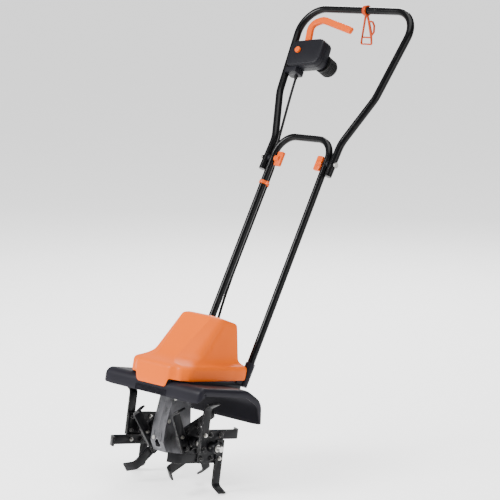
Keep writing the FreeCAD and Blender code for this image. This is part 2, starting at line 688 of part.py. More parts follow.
def hood_solid(inset):
    """The hood's solid, with every wall moved inwards by inset."""
    low = HOOD_BOTTOM - (1.0 if inset else 0.0)
    flange = slab(HOOD_HALF - inset, HOOD_FRONT + inset, HOOD_BACK - inset, low,
                  HOOD_FLANGE - inset, HOOD_CORNER - inset)
    slope = prism([(-HOOD_HALF - 1, HOOD_WAIST_FRONT - inset, HOOD_FLANGE - inset),
                   (-HOOD_HALF - 1, HOOD_FRONT - 1, HOOD_FRONT_LOW - inset),
                   (-HOOD_HALF - 1, HOOD_FRONT - 1, HOOD_FLANGE + 1)],
                  (2 * HOOD_HALF + 2, 0, 0))
    flange = flange.cut(slope)
    nose = box(-NOSE_HALF + inset, NOSE_HALF - inset, GUARD_FRONT - NOSE_OUT + inset, HOOD_FRONT + SHELL_WALL,
               NOSE_BOTTOM - (1.0 if inset else 0.0), NOSE_TOP - inset)
    nose = nose.cut(slope)
    flange = flange.fuse(nose)
    base_z = HOOD_FLANGE - 8 - inset
    top_z = HOOD_TOP - inset
    waist = HOOD_WAIST_HALF - inset
    lower = [(-waist, HOOD_WAIST_FRONT + inset, base_z), (waist, HOOD_WAIST_FRONT + inset, base_z),
             (waist, HOOD_WAIST_BACK - inset, base_z), (-waist, HOOD_WAIST_BACK - inset, base_z)]
    brow = HOOD_TOP_HALF - inset
    crest = [(-brow, HOOD_TOP_FRONT + inset, top_z), (brow, HOOD_TOP_FRONT + inset, top_z),
             (brow, HOOD_TOP_BACK - inset, top_z), (-brow, HOOD_TOP_BACK - inset, top_z)]
    wires = []
    for ring_points in (lower, crest):
        corners = [Vector(*p) for p in ring_points]
        wires.append(Part.makePolygon(corners + [corners[0]]))
    crown = Part.makeLoft(wires, True, True)
    if not inset:
        crown = crown.makeFillet(10.0, [e for e in crown.Edges if e.BoundBox.ZMax > base_z + 20])
    return flange.fuse(crown)


def hood():
    shell = hood_solid(0.0).cut(hood_solid(SHELL_WALL))
    shell = head(shell)
    for side in (-1, 1):
        shell = shell.cut(handle(socket_blank(side, 1.0)))
        shell = shell.cut(handle(rod(LOWER_OD / 2 + 2.0, (side * LOWER_HALF, 0, 0),
                                     (side * LOWER_HALF, 0, LOWER_TOP))))
    shell = shell.cut(head(rod(CABLE_R + 2.5, HOOD_ENTRY, (HOOD_ENTRY[0], HOOD_BACK - 20, HOOD_ENTRY[2]))))
    keep("hood", shell)
    screws = []
    for at_x in (-70.0, 70.0):
        for at_y in (-60.0, 100.0):
            under = CASE_TOP
            screws.append(head(fuse([rod(4.0, (at_x, at_y, under - 2.5), (at_x, at_y, under)),
                                     rod(2.0, (at_x, at_y, under - 1), (at_x, at_y, under + 12))])))
    tray_body = PARTS["base_tray"]
    keep("base_tray", tray_body.cut(screws))
    keep("tray_screws", *screws)


# ---- handle --------------------------------------------------------------------------------------
def lower_path():
    return rounded_path([(-LOWER_HALF, 0, 0), (-LOWER_HALF, 0, LOWER_TOP),
                         (LOWER_HALF, 0, LOWER_TOP), (LOWER_HALF, 0, 0)],
                        [LOWER_CORNER, LOWER_CORNER])


def upper_path():
    half = upper_half()
    foot = BOLT_UP - UPPER_TAIL
    knee_half, knee_up = knee()
    return rounded_path([(-half, 0, foot), (-half, 0, flare_start()), (-knee_half, 0, knee_up),
                         (-UPPER_TOP_HALF, 0, UPPER_TOP), (UPPER_TOP_HALF, 0, UPPER_TOP),
                         (knee_half, 0, knee_up), (half, 0, flare_start()), (half, 0, foot)],
                        [UPPER_BEND, UPPER_BEND, UPPER_CORNER, UPPER_CORNER, UPPER_BEND, UPPER_BEND])


def handles():
    lower = tube_along(lower_path(), LOWER_OD / 2, TUBE_WALL)
    loop = tube_along(upper_path(), UPPER_OD / 2, TUBE_WALL)
    half = upper_half()
    saddles = []
    bolts = []
    knobs = []
    for side in (-1, 1):
        across = [(side * 40, 0, BOLT_UP), (side * (half + 40), 0, BOLT_UP)]
        lower = lower.cut(rod(BOLT_R + BOLT_CLEAR, *across))
        loop = loop.cut(rod(BOLT_R + 0.1, *across))
        # The pad is hollow towards the lower leg and flat towards the upper one, which turns on it.
        pad = rod(9.0, (side * (LOWER_HALF + 5), 0, BOLT_UP),
                  (side * (half - UPPER_OD / 2 - 0.1), 0, BOLT_UP))
        pad = pad.cut(rod(LOWER_OD / 2, (side * LOWER_HALF, 0, 0), (side * LOWER_HALF, 0, LOWER_TOP)))
        pad = pad.cut(rod(BOLT_R + BOLT_CLEAR, *across))
        saddles.append(handle(pad))
        seat = half + UPPER_OD / 2
        knob_face = LOWER_HALF - LOWER_OD / 2 - 1.0
        bolt = fuse([
            rod(BOLT_R, (side * (knob_face - 14), 0, BOLT_UP), (side * (seat + 1.2), 0, BOLT_UP)),
            rod(7.5, (side * (seat + 0.1), 0, BOLT_UP), (side * (seat + 4), 0, BOLT_UP)),
        ])
        bolts.append(handle(bolt))
        knob = rod(9.0, (side * knob_face, 0, BOLT_UP), (side * (knob_face - 16), 0, BOLT_UP))
        x0, x1 = sorted((side * (knob_face - 4), side * (knob_face - 24)))
        wing = box(x0, x1, -4, 4, BOLT_UP - 20, BOLT_UP + 20)
        wing = wing.makeFillet(3.5, [e for e in wing.Edges if abs(e.tangentAt(e.FirstParameter).y) > 0.99])
        knob = fuse([knob, wing])
        knob = knob.cut(rod(BOLT_R + RUN, (side * knob_face, 0, BOLT_UP),
                            (side * (knob_face - 15), 0, BOLT_UP)))
        knobs.append(handle(knob))
    keep("lower_handle", handle(lower))
    keep("upper_handle", upper(loop))
    keep("handle_saddles", *saddles)
    keep("handle_bolts", *bolts)
    keep("knob_left", knobs[0])
    keep("knob_right", knobs[1])


# ---- switch box ----------------------------------------------------------------------------------
def lever_path():
    """Lever centre line in the switch box frame, from the pivot to the free tip."""
    corners = (LEVER_PIVOT, LEVER_RISE, LEVER_CREST, LEVER_END)
    return rounded_path([(inward, 0, up) for inward, up in corners], [22.0, 40.0])


def switch_box():
    body = box(BOX_OUT, BOX_IN, BOX_FRONT, BOX_BACK, -BOX_HALF_H, BOX_HALF_H)
    edges = [e for e in body.Edges if abs(e.tangentAt(e.FirstParameter).y) > 0.99]
    body = body.makeFillet(BOX_CORNER, edges)
    inner = box(BOX_TUBE_WALL, BOX_IN - BOX_WALL, BOX_FRONT + BOX_WALL, BOX_BACK - BOX_WALL,
                -BOX_HALF_H + BOX_WALL, BOX_HALF_H - BOX_WALL)
    edges = [e for e in inner.Edges if abs(e.tangentAt(e.FirstParameter).y) > 0.99]
    inner = inner.makeFillet(BOX_CORNER - BOX_WALL, edges)
    body = body.cut(inner)
    body = body.cut(rod(UPPER_OD / 2 + 0.02, (0, 0, -80), (0, 0, 80)))
    pivot = (LEVER_PIVOT[0], LEVER_PIVOT[1])
    slot = box(pivot[0] - 40, pivot[0] + 26, -LEVER_T / 2 - 1, LEVER_T / 2 + 1, BOX_HALF_H - 10, BOX_HALF_H + 5)
    body = body.cut(slot)
    body = body.cut(rod(BUTTON_R + 0.4, (BUTTON_AT[0], BOX_FRONT - 5, BUTTON_AT[1]),
                        (BUTTON_AT[0], BOX_FRONT + 5, BUTTON_AT[1])))
    body = body.cut(rod(INLET_SPIGOT + 0.1, (INLET_AT[0], BOX_BACK - 5, INLET_AT[1]),
                        (INLET_AT[0], BOX_BACK + 5, INLET_AT[1])))
    body = body.cut(rod(CABLE_R + 2.6, (CABLE_IN, CABLE_BACK, -BOX_HALF_H - 5),
                        (CABLE_IN, CABLE_BACK, -BOX_HALF_H + 5)))
    far = 300
    front = body.common(box(-far, far, -far, BOX_SPLIT, -far, far))
    back = body.common(box(-far, far, BOX_SPLIT, far, -far, far))
    keep("switch_box_front", switch_frame(front))
    keep("switch_box_back", switch_frame(back))

    pin = rod(LEVER_PIN_R, (pivot[0], BOX_FRONT + BOX_WALL, pivot[1]), (pivot[0], BOX_BACK - BOX_WALL, pivot[1]))
    keep("lever_pin", switch_frame(pin))
    path = lever_path()
    half_w = LEVER_W / 2
    half_t = LEVER_T / 2
    start = path.Edges[0].valueAt(path.Edges[0].FirstParameter)
    corners = [Vector(start.x + dx * half_w, dy * half_t, start.z)
               for dx, dy in ((-1, -1), (1, -1), (1, 1), (-1, 1), (-1, -1))]
    arm = swept(path, Part.makePolygon(corners))
    boss = rod(10.0, (pivot[0], -half_t, pivot[1]), (pivot[0], half_t, pivot[1]))
    arm = fuse([arm, boss])
    arm = arm.cut(rod(LEVER_PIN_R + RUN, (pivot[0], -20, pivot[1]), (pivot[0], 20, pivot[1])))
    keep("switch_lever", switch_frame(arm))

    button = fuse([
        rod(BUTTON_R, (BUTTON_AT[0], BOX_FRONT - BUTTON_PROUD, BUTTON_AT[1]),
            (BUTTON_AT[0], BOX_FRONT + BOX_WALL + 0.5, BUTTON_AT[1])),
        rod(3.0, (BUTTON_AT[0], BOX_FRONT, BUTTON_AT[1]), (BUTTON_AT[0], BOX_FRONT + 8, BUTTON_AT[1])),
        rod(BUTTON_R + 1.5, (BUTTON_AT[0], BOX_FRONT + BOX_WALL + 0.3, BUTTON_AT[1]),
            (BUTTON_AT[0], BOX_FRONT + BOX_WALL + 1.6, BUTTON_AT[1])),
    ])
    keep("lock_button", switch_frame(button))

    in_x, in_z = INLET_AT
    back_face = BOX_BACK
    rings = [rod(INLET_R - 3, (in_x, back_face, in_z), (in_x, back_face + INLET_OUT, in_z)),
             rod(INLET_SPIGOT, (in_x, back_face - BOX_WALL, in_z), (in_x, back_face, in_z))]
    rib_step = INLET_OUT / INLET_RIBS
    for number in range(INLET_RIBS):
        near = back_face + 2.0 + number * rib_step
        rings.append(rod(INLET_R - number * 0.5, (in_x, near, in_z), (in_x, near + 4.0, in_z)))
    inlet = fuse(rings)
    floor = back_face + 6.0
    inlet = inlet.cut(rod(INLET_BORE, (in_x, floor, in_z), (in_x, back_face + INLET_OUT + 5, in_z)))
    keep("plug_inlet", switch_frame(inlet))
    prongs = []
    for shift in (-PRONG_SPAN / 2, PRONG_SPAN / 2):
        prongs.append(switch_frame(rod(2.0, (in_x + shift, floor, in_z),
                                       (in_x + shift, floor + 18.0, in_z))))
    keep("plug_prongs", *prongs)

    bottom = -BOX_HALF_H
    clamp = box(BOX_OUT + 1, 44, -13, BOX_BACK, bottom - CLAMP_H, bottom)
    edges = [e for e in clamp.Edges if abs(e.tangentAt(e.FirstParameter).z) > 0.99]
    clamp = clamp.makeFillet(4.0, edges)
    clamp = clamp.cut(rod(UPPER_OD / 2 + 0.02, (0, 0, -80), (0, 0, 80)))
    clamp = clamp.cut(rod(CABLE_R + 2.6, (CABLE_IN, CABLE_BACK, -80), (CABLE_IN, CABLE_BACK, 0)))
    keep("switch_box_clamp", switch_frame(clamp))
    gland = Part.makeCone(CABLE_R + 1.0, CABLE_R + 2.5, 26, Vector(CABLE_IN, CABLE_BACK, bottom - 23),
                          AXIS_Z)
    gland = gland.cut(rod(CABLE_R, (CABLE_IN, CABLE_BACK, bottom - 40), (CABLE_IN, CABLE_BACK, 0)))
    keep("cable_gland", switch_frame(gland))
    micro = box(60, 88, 2, 14, -2, 16)
    keep("microswitch", switch_frame(micro))
    screws = []
    for at_x, at_z in ((98.0, 28.0), (22.0, 30.0), (20.0, -30.0)):
        screw = rod(3.2, (at_x, BOX_BACK - 2, at_z), (at_x, BOX_BACK + 0.8, at_z))
        screws.append(screw)
    back_part = PARTS["switch_box_back"]
    for screw in screws:
        back_part = back_part.cut(switch_frame(screw))
    keep("switch_box_back", back_part)
    keep("switch_box_screws", *[switch_frame(s) for s in screws])


# ---- hook ----------------------------------------------------------------------------------------
def cord_hook():
    """Cord retainer that hangs straight down from the top bar, in a plane across the bar."""
    bar_r = UPPER_OD / 2
    t = HOOK_WIRE / 2
    foot = -HOOK_DROP
    top = -bar_r - 1.0
    wide = HOOK_HALF
    outline = [(-5, top), (-wide, foot + 4), (-wide + 3, foot), (wide - 3, foot), (wide, foot + 4),
               (wide - 1, foot + 24), (wide + 8, foot + 34), (wide + 9, foot + 52),
               (wide + 2, foot + 64), (9.5, foot + 66), (5, top)]
    plate = prism([(x, -t, z) for x, z in outline], (0, 2 * t, 0))
    windows = [
        [(-wide + 4, foot + 4), (wide - 4, foot + 4), (wide - 5, foot + 18), (-wide + 6, foot + 18)],
        [(-wide + 7, foot + 22), (wide - 6, foot + 22), (5.5, foot + 62), (1.5, top - 6), (-1.5, top - 6)],
        [(wide, foot + 29), (wide + 4, foot + 35), (wide + 5, foot + 51), (wide, foot + 60),
         (11.5, foot + 60)],
    ]
    for window in windows:
        plate = plate.cut(prism([(x, -t - 1, z) for x, z in window], (0, 2 * t + 2, 0)))
    eye = ring(bar_r + 0.5 + HOOK_WIRE, bar_r + 0.5, (-5, 0, 0), (5, 0, 0))
    hook = fuse([eye, plate.cut(rod(bar_r + 0.5, (-20, 0, 0), (20, 0, 0)))])
    hook.translate(upper_point(HOOK_X, 0, UPPER_TOP))
    keep("cord_hook", hook)


def handle_point(x, y, z):
    return handle(Part.Vertex(x, y, z)).Point


def upper_point(x, y, z):
    return upper(Part.Vertex(x, y, z)).Point


def head_point(x, y, z):
    return head(Part.Vertex(x, y, z)).Point


# ---- cable ---------------------------------------------------------------------------------------
def cable():
    side = -1
    leg = side * LOWER_HALF
    bottom = -BOX_HALF_H
    start = switch_frame(Part.Vertex(CABLE_IN, CABLE_BACK, bottom)).Point
    second = switch_frame(Part.Vertex(CABLE_IN, CABLE_BACK, bottom - 50)).Point
    knee_half, knee_up = knee()
    above = upper_point(-knee_half + 30, CABLE_BACK + 3, knee_up - 35)
    foot = upper_point(-upper_half() + 4, CABLE_BACK, BOLT_UP + CABLE_START)
    upper_run = [start, second, above, foot]
    entry = head_point(*HOOD_ENTRY)
    hold_y = CABLE_BACK - 1.5
    lower_run = [
        handle_point(leg, hold_y, BOLT_UP - CABLE_STOP),
        handle_point(leg, hold_y, 130),
        head_point(HOOD_ENTRY[0] - 6, HOOD_BACK + 46, HOOD_ENTRY[2] + 10),
        entry,
    ]
    for name, points in (("cable_upper", upper_run), ("cable_lower", lower_run)):
        runs = [(Vector(*b) - Vector(*a)).Length for a, b in zip(points, points[1:])]
        radii = []
        for index in range(1, len(points) - 1):
            way_in = Vector(*points[index]) - Vector(*points[index - 1])
            way_out = Vector(*points[index + 1]) - Vector(*points[index])
            turn = max(way_in.getAngle(way_out), 0.02)
            radii.append(0.45 * min(runs[index - 1], runs[index]) / math.tan(turn / 2))
        path = rounded_path(points, radii)
        solid = tube_along(path, CABLE_R)
        print(name, "radii", [round(r) for r in radii], "length", round(path.Length))
        keep(name, solid)
    collar = ring(LOWER_OD / 2 + 2.5, LOWER_OD / 2, (leg, 0, CLIP_UP - CLIP_W / 2), (leg, 0, CLIP_UP + CLIP_W / 2))
    hold = ring(CABLE_R + 2.2, CABLE_R + 0.2, (leg, hold_y, CLIP_UP - CLIP_W / 2),
                (leg, hold_y, CLIP_UP + CLIP_W / 2))
    tab = box(leg + 9, leg + 18, -3, 3, CLIP_UP - CLIP_W / 2, CLIP_UP + CLIP_W / 2)
    clip = collar.fuse(hold).fuse(tab.cut(rod(LOWER_OD / 2, (leg, 0, 0), (leg, 0, LOWER_TOP))))
    clip = clip.cut(rod(LOWER_OD / 2, (leg, 0, 0), (leg, 0, LOWER_TOP)))
    clip = clip.cut(rod(CABLE_R + 0.2, (leg, hold_y, 0), (leg, hold_y, LOWER_TOP)))
    keep("cable_clip", handle(clip))


def main():
    os.makedirs("parts", exist_ok=True)
    gearbox()
    motor()
    tine_stars()
    guard()
    tray()
    hood()
    handles()
    switch_box()
    cord_hook()
    cable()
    for name, shape in PARTS.items():
        shape.exportStep(os.path.join("parts", name + ".step"))
    print(len(PARTS), "nodes")


main()
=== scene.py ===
import json
import logging
import math
from dataclasses import dataclass, field
from enum import Enum

import bmesh
import bpy
from mathutils import Matrix, Vector


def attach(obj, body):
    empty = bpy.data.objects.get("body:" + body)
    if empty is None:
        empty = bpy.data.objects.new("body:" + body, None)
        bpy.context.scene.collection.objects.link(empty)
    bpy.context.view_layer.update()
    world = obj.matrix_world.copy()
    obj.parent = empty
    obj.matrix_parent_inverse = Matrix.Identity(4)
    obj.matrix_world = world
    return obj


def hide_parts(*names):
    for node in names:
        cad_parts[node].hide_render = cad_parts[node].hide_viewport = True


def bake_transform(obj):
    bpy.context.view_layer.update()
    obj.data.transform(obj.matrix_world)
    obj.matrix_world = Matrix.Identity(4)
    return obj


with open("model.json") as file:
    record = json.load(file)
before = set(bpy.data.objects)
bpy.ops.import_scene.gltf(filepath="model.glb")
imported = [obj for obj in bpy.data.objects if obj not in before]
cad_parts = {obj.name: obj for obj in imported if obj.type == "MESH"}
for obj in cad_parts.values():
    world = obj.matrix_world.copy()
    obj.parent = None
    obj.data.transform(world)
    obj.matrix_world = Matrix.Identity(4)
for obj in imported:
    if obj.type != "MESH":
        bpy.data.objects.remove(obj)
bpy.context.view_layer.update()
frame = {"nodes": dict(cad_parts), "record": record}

logging.basicConfig(level=logging.INFO, format="%(levelname)s %(message)s")
LOG = logging.getLogger("tiller")

Colour = tuple[float, float, float]
Point = tuple[float, float, float]
MM = 0.001


class Body(Enum):
    """The moving bodies that visible pieces ride on."""

    CHASSIS = "chassis"
    TINES = "tines"
    HANDLE_TOP = "handle_top"
    LEVER = "lever"
    BUTTON = "button"
    LEFT_KNOB = "left_knob"
    RIGHT_KNOB = "right_knob"
    HOOK = "hook"


# ---- shader expressions ---------------------------------------------------------------------


class Signal:
    """A number socket of a material that works in Python expressions."""

    def __init__(self, recipe: "Recipe", socket: bpy.types.NodeSocket) -> None:
        """Wraps one output socket.

        Args:
            recipe: the material's node builder.
            socket: the output that carries the number.
        """
        self.recipe = recipe
        self.socket = socket

    def _join(self, operation: str, first: object, second: object) -> "Signal":
        """Adds one Math node.

        Args:
            operation: the Math node's operation.
            first: a number or a Signal.
            second: a number or a Signal.

        Returns:
            The node's result.
        """
        node = self.recipe.node("ShaderNodeMath", {"operation": operation}, {0: first, 1: second})
        return Signal(self.recipe, node.outputs[0])

    def __add__(self, other: object) -> "Signal":
        """Sum."""
        return self._join("ADD", self, other)

    def __radd__(self, other: object) -> "Signal":
        """Sum with a number on the left."""
        return self._join("ADD", other, self)

    def __sub__(self, other: object) -> "Signal":
        """Difference."""
        return self._join("SUBTRACT", self, other)

    def __rsub__(self, other: object) -> "Signal":
        """Difference from a number on the left."""
        return self._join("SUBTRACT", other, self)

    def __mul__(self, other: object) -> "Signal":
        """Product."""
        return self._join("MULTIPLY", self, other)

    def __rmul__(self, other: object) -> "Signal":
        """Product with a number on the left."""
        return self._join("MULTIPLY", other, self)

    def __pow__(self, other: object) -> "Signal":
        """Power."""
        return self._join("POWER", self, other)


class Recipe:
    """Builds one material's nodes round a Principled shader."""

    def __init__(self, name: str) -> None:
        """Starts an empty material.

        Args:
            name: the material's name.
        """
        self.material = bpy.data.materials.new(name)
        self.material.use_nodes = True
        self.tree = self.material.node_tree
        self.tree.nodes.clear()
        self.shader = self.node("ShaderNodeBsdfPrincipled")
        self.node("ShaderNodeOutputMaterial", None, {"Surface": self.shader.outputs[0]})
        self.place = self.node("ShaderNodeTexCoord").outputs["Object"]

    def node(self, kind: str, settings: dict | None = None, inputs: dict | None = None) -> bpy.types.Node:
        """Adds any node.

        Args:
            kind: the node's type.
            settings: its own settings, and "stops" for a ramp's (position, value) pairs.
            inputs: values, sockets or Signals by socket name or number.

        Returns:
            The new node.
        """
        made = self.tree.nodes.new(kind)
        for key, value in (settings or {}).items():
            if key == "stops":
                ramp = made.color_ramp.elements
                while len(ramp) < len(value):
                    ramp.new(0.5)
                for stop, (position, grey) in zip(ramp, value):
                    stop.position = position
                    stop.color = (grey, grey, grey, 1.0)
            else:
                setattr(made, key, value)
        for key, value in (inputs or {}).items():
            target = made.inputs[key]
            if isinstance(value, Signal):
                self.tree.links.new(value.socket, target)
            elif isinstance(value, bpy.types.NodeSocket):
                self.tree.links.new(value, target)
            else:
                target.default_value = value
        return made

    def noise(self, scale: float, detail: float = 3.0, rough: float = 0.5,
              stretch: Point = (1.0, 1.0, 1.0)) -> Signal:
        """A noise over the piece's own coordinates.

        Args:
            scale: cycles in a metre.
            detail: octaves.
            rough: strength of the fine octaves.
            stretch: scale along each axis.

        Returns:
            The noise, about 0 to 1.
        """
        mapped = self.node("ShaderNodeMapping", None, {"Vector": self.place, "Scale": stretch})
        made = self.node("ShaderNodeTexNoise", None, {"Vector": mapped.outputs[0], "Scale": scale,
                                                      "Detail": detail, "Roughness": rough})
        return Signal(self, made.outputs["Fac"])

    def cells(self, scale: float) -> Signal:
        """Distance inside small cells, for a moulded grain.

        Args:
            scale: cells in a metre.

        Returns:
            The distance.
        """
        made = self.node("ShaderNodeTexVoronoi", None, {"Vector": self.place, "Scale": scale})
        return Signal(self, made.outputs["Distance"])

    def ramp(self, value: Signal, low: float, high: float) -> Signal:
        """Spreads the part of a signal between two values over 0 to 1.

        Args:
            value: the signal.
            low: the value that gives 0.
            high: the value that gives 1.

        Returns:
            The clamped result.
        """
        made = self.node("ShaderNodeMapRange", {"interpolation_type": "SMOOTHSTEP"},
                         {"Value": value, "From Min": low, "From Max": high})
        return Signal(self, made.outputs[0])

    def edges(self, reach: float) -> Signal:
        """Nearness to a sharp edge.

        Args:
            reach: how far the mask reaches from an edge, in metres.

        Returns:
            0 on a face and more at an edge.
        """
        soft = self.node("ShaderNodeBevel", {"samples": 4}, {"Radius": reach})
        true = self.node("ShaderNodeNewGeometry").outputs["Normal"]
        dot = self.node("ShaderNodeVectorMath", {"operation": "DOT_PRODUCT"},
                        {0: soft.outputs[0], 1: true})
        return 1.0 - Signal(self, dot.outputs["Value"])

    def blend(self, mask: Signal, first: object, second: object) -> bpy.types.NodeSocket:
        """Mixes two colours.

        Args:
            mask: 0 gives the first, 1 the second.
            first: a colour or a colour socket.
            second: a colour or a colour socket.

        Returns:
            The mixed colour's socket.
        """
        def four(value: object) -> object:
            """Adds the alpha to a plain colour."""
            return (*value, 1.0) if isinstance(value, tuple) else value
        made = self.node("ShaderNodeMix", {"data_type": "RGBA"},
                         {0: mask, 6: four(first), 7: four(second)})
        return made.outputs[2]

    def dress(self, colour: object, rough: object, height: Signal | None = None,
              depth: float = 0.0002, strength: float = 0.5, **fixed: float) -> bpy.types.Material:
        """Connects the shader.

        Args:
            colour: a colour socket.
            rough: a roughness number or Signal.
            height: what the surface's bump follows.
            depth: the bump's height in metres.
            strength: the bump's strength.
            fixed: other shader sockets by name, with _ for a space.

        Returns:
            The finished material.
        """
        self.tree.links.new(colour, self.shader.inputs["Base Color"])
        if isinstance(rough, Signal):
            self.tree.links.new(rough.socket, self.shader.inputs["Roughness"])
        else:
            self.shader.inputs["Roughness"].default_value = rough
        if height is not None:
            bump = self.node("ShaderNodeBump", None, {"Height": height, "Distance": depth,
                                                      "Strength": strength})
            self.tree.links.new(bump.outputs[0], self.shader.inputs["Normal"])
        for key, value in fixed.items():
            self.shader.inputs[key.replace("_", " ")].default_value = value
        return self.material


# ---- finishes -------------------------------------------------------------------------------


@dataclass(frozen=True)
class MouldedPlastic:
    """Moulded plastic with a fine grain and dusty patches."""

    name: str
    base: Colour
    shade: Colour
    rough: float
    grain: float = 1400.0
    grain_depth: float = 0.00005
    coat: float = 0.0
    glow: float = 0.0
    shine: float = 0.12

    def build(self) -> bpy.types.Material:
        """The finished material."""
        mix = Recipe(self.name)
        cloud = mix.noise(9.0, 4.0, 0.55)
        fine = mix.noise(self.grain, 2.0, 0.6)
        flow = mix.noise(38.0, 3.0, 0.5, (1.0, 0.25, 1.0))
        scuff = mix.ramp(mix.noise(95.0, 6.0, 0.72, (1.0, 3.0, 1.0)), 0.66, 0.78)
        colour = mix.blend(cloud, self.base, self.shade)
        pale = tuple(min(1.0, c * 1.2 + 0.008) for c in self.base)
        colour = mix.blend(scuff * 0.35, colour, pale)
        rough = self.rough + (cloud - 0.5) * 0.16 + scuff * 0.12 + (flow - 0.5) * 0.08
        height = fine * 0.8 + mix.cells(self.grain * 0.5) * 0.5
        return mix.dress(colour, rough, height, self.grain_depth, 0.6, Coat_Weight=self.coat,
                         Coat_Roughness=0.22, Subsurface_Weight=self.glow,
                         Subsurface_Scale=0.004, Specular_IOR_Level=self.shine)


@dataclass(frozen=True)
class BlackPaint:
    """Black paint on steel with an orange-peel skin, dust and chips at the edges."""

    name: str
    base: Colour
    rough: float
    peel: float
    wear: float
    chip_reach: float = 0.0015

    def build(self) -> bpy.types.Material:
        """The finished material."""
        mix = Recipe(self.name)
        cloud = mix.noise(14.0, 5.0, 0.6)
        dust = mix.ramp(mix.noise(48.0, 6.0, 0.7), 0.52, 0.74)
        colour = mix.blend(dust * 0.4, self.base, (0.02, 0.0195, 0.019))
        rough = self.rough + (cloud - 0.5) * 0.14 + dust * 0.12
        height = mix.noise(self.peel, 2.0, 0.5) + mix.noise(60.0, 3.0, 0.5) * 0.6
        if self.wear:
            edge = mix.ramp(mix.edges(self.chip_reach) * (0.5 + mix.noise(220.0, 5.0, 0.7)), 0.05, 0.16)
            worn = edge * mix.ramp(mix.noise(70.0, 5.0, 0.7), 0.45, 0.6) * self.wear
            colour = mix.blend(worn, colour, (0.32, 0.31, 0.3))
            mix.tree.links.new((worn * 0.8).socket, mix.shader.inputs["Metallic"])
            rough = rough + worn * 0.1
        return mix.dress(colour, rough, height, 0.00012, 0.15, Specular_IOR_Level=0.13)


@dataclass(frozen=True)
class CastAlloy:
    """Raw pressure-die casting, mottled and slightly pitted."""

    name: str
    base: Colour
    rough: float = 0.42

    def build(self) -> bpy.types.Material:
        """The finished material."""
        mix = Recipe(self.name)
        mottle = mix.noise(55.0, 6.0, 0.65)
        pits = mix.ramp(mix.noise(330.0, 4.0, 0.6), 0.34, 0.46)
        flow = mix.noise(30.0, 4.0, 0.6, (1.0, 1.0, 0.2))
        stain = mix.ramp(mix.noise(26.0, 5.0, 0.6), 0.5, 0.72)
        colour = mix.blend(mottle, self.base, tuple(c * 0.55 for c in self.base))
        colour = mix.blend(stain * 0.75, colour, (0.02, 0.019, 0.02))
        rub = mix.ramp(mix.edges(0.0015), 0.04, 0.2)
        colour = mix.blend(rub * 0.5, colour, (0.34, 0.34, 0.36))
        rough = self.rough + (mottle - 0.5) * 0.3 + (1.0 - pits) * 0.12
        height = pits * 0.7 + mottle * 0.6 + flow * 0.5
        return mix.dress(colour, rough, height, 0.0004, 0.5, Metallic=0.75)


@dataclass(frozen=True)
class TurnedMetal:
    """Machined or plated metal with fine lathe lines."""

    name: str
    base: Colour
    rough: float
    line: Point = (1.0, 1.0, 1.0)

    def build(self) -> bpy.types.Material:
        """The finished material."""
        mix = Recipe(self.name)
        lines = mix.noise(420.0, 3.0, 0.6, self.line)
        cloud = mix.noise(60.0, 4.0, 0.6)
        tarnish = mix.ramp(cloud, 0.5, 0.75)
        colour = mix.blend(tarnish * 0.5, self.base, tuple(c * 0.55 for c in self.base))
        rough = self.rough + (lines - 0.5) * 0.16 + tarnish * 0.15
        return mix.dress(colour, rough, lines, 0.00006, 0.4, Metallic=1.0)


@dataclass(frozen=True)
class SoftRubber:
    """Black rubber or cable sheath with a dull bloom."""

    name: str
    base: Colour
    rough: float = 0.55

    def build(self) -> bpy.types.Material:
        """The finished material."""
        mix = Recipe(self.name)
        bloom = mix.noise(40.0, 5.0, 0.6)
        fine = mix.noise(900.0, 2.0, 0.5)
        colour = mix.blend(mix.ramp(bloom, 0.45, 0.8) * 0.6, self.base, (0.02, 0.0195, 0.019))
        rough = self.rough + (bloom - 0.5) * 0.2
        return mix.dress(colour, rough, fine, 0.00005, 0.5, Specular_IOR_Level=0.2)


FINISHES = {
    "hood_orange": MouldedPlastic("hood_orange", (0.74, 0.118, 0.0005), (0.66, 0.1, 0.0004), 0.4, 1100.0,
                                  0.00004, 0.03, 0.0, 0.1),
    "control_orange": MouldedPlastic("control_orange", (0.62, 0.085, 0.004), (0.54, 0.07, 0.003), 0.36,
                                     900.0, 0.00003, 0.03, 0.0, 0.1),
    "hook_orange": MouldedPlastic("hook_orange", (0.4, 0.045, 0.006), (0.33, 0.035, 0.005), 0.45, 900.0,
                                  0.00003),
    "guard_black": MouldedPlastic("guard_black", (0.006, 0.006, 0.009), (0.012, 0.011, 0.016), 0.46, 900.0,
                                  0.00008, 0.0),
    "box_black": MouldedPlastic("box_black", (0.005, 0.005, 0.007), (0.009, 0.009, 0.012), 0.42, 1300.0,
                                0.00006, 0.0),
    "tube_black": BlackPaint("tube_black", (0.003, 0.003, 0.0035), 0.22, 700.0, 0.0),
    "tine_black": BlackPaint("tine_black", (0.005, 0.005, 0.006), 0.4, 420.0, 0.8),
    "cast_alloy": CastAlloy("cast_alloy", (0.13, 0.13, 0.14)),
    "bright_steel": TurnedMetal("bright_steel", (0.42, 0.41, 0.39), 0.3),
    "gear_steel": TurnedMetal("gear_steel", (0.5, 0.49, 0.47), 0.34, (6.0, 1.0, 1.0)),
    "bronze": TurnedMetal("bronze", (0.62, 0.42, 0.2), 0.34),
    "rubber_black": SoftRubber("rubber_black", (0.006, 0.006, 0.0065)),
    "laminations": TurnedMetal("laminations", (0.16, 0.15, 0.15), 0.5, (1.0, 1.0, 12.0)),
    "copper": TurnedMetal("copper", (0.74, 0.38, 0.24), 0.3),
    "fan_grey": MouldedPlastic("fan_grey", (0.24, 0.24, 0.25), (0.3, 0.3, 0.31), 0.5),
}


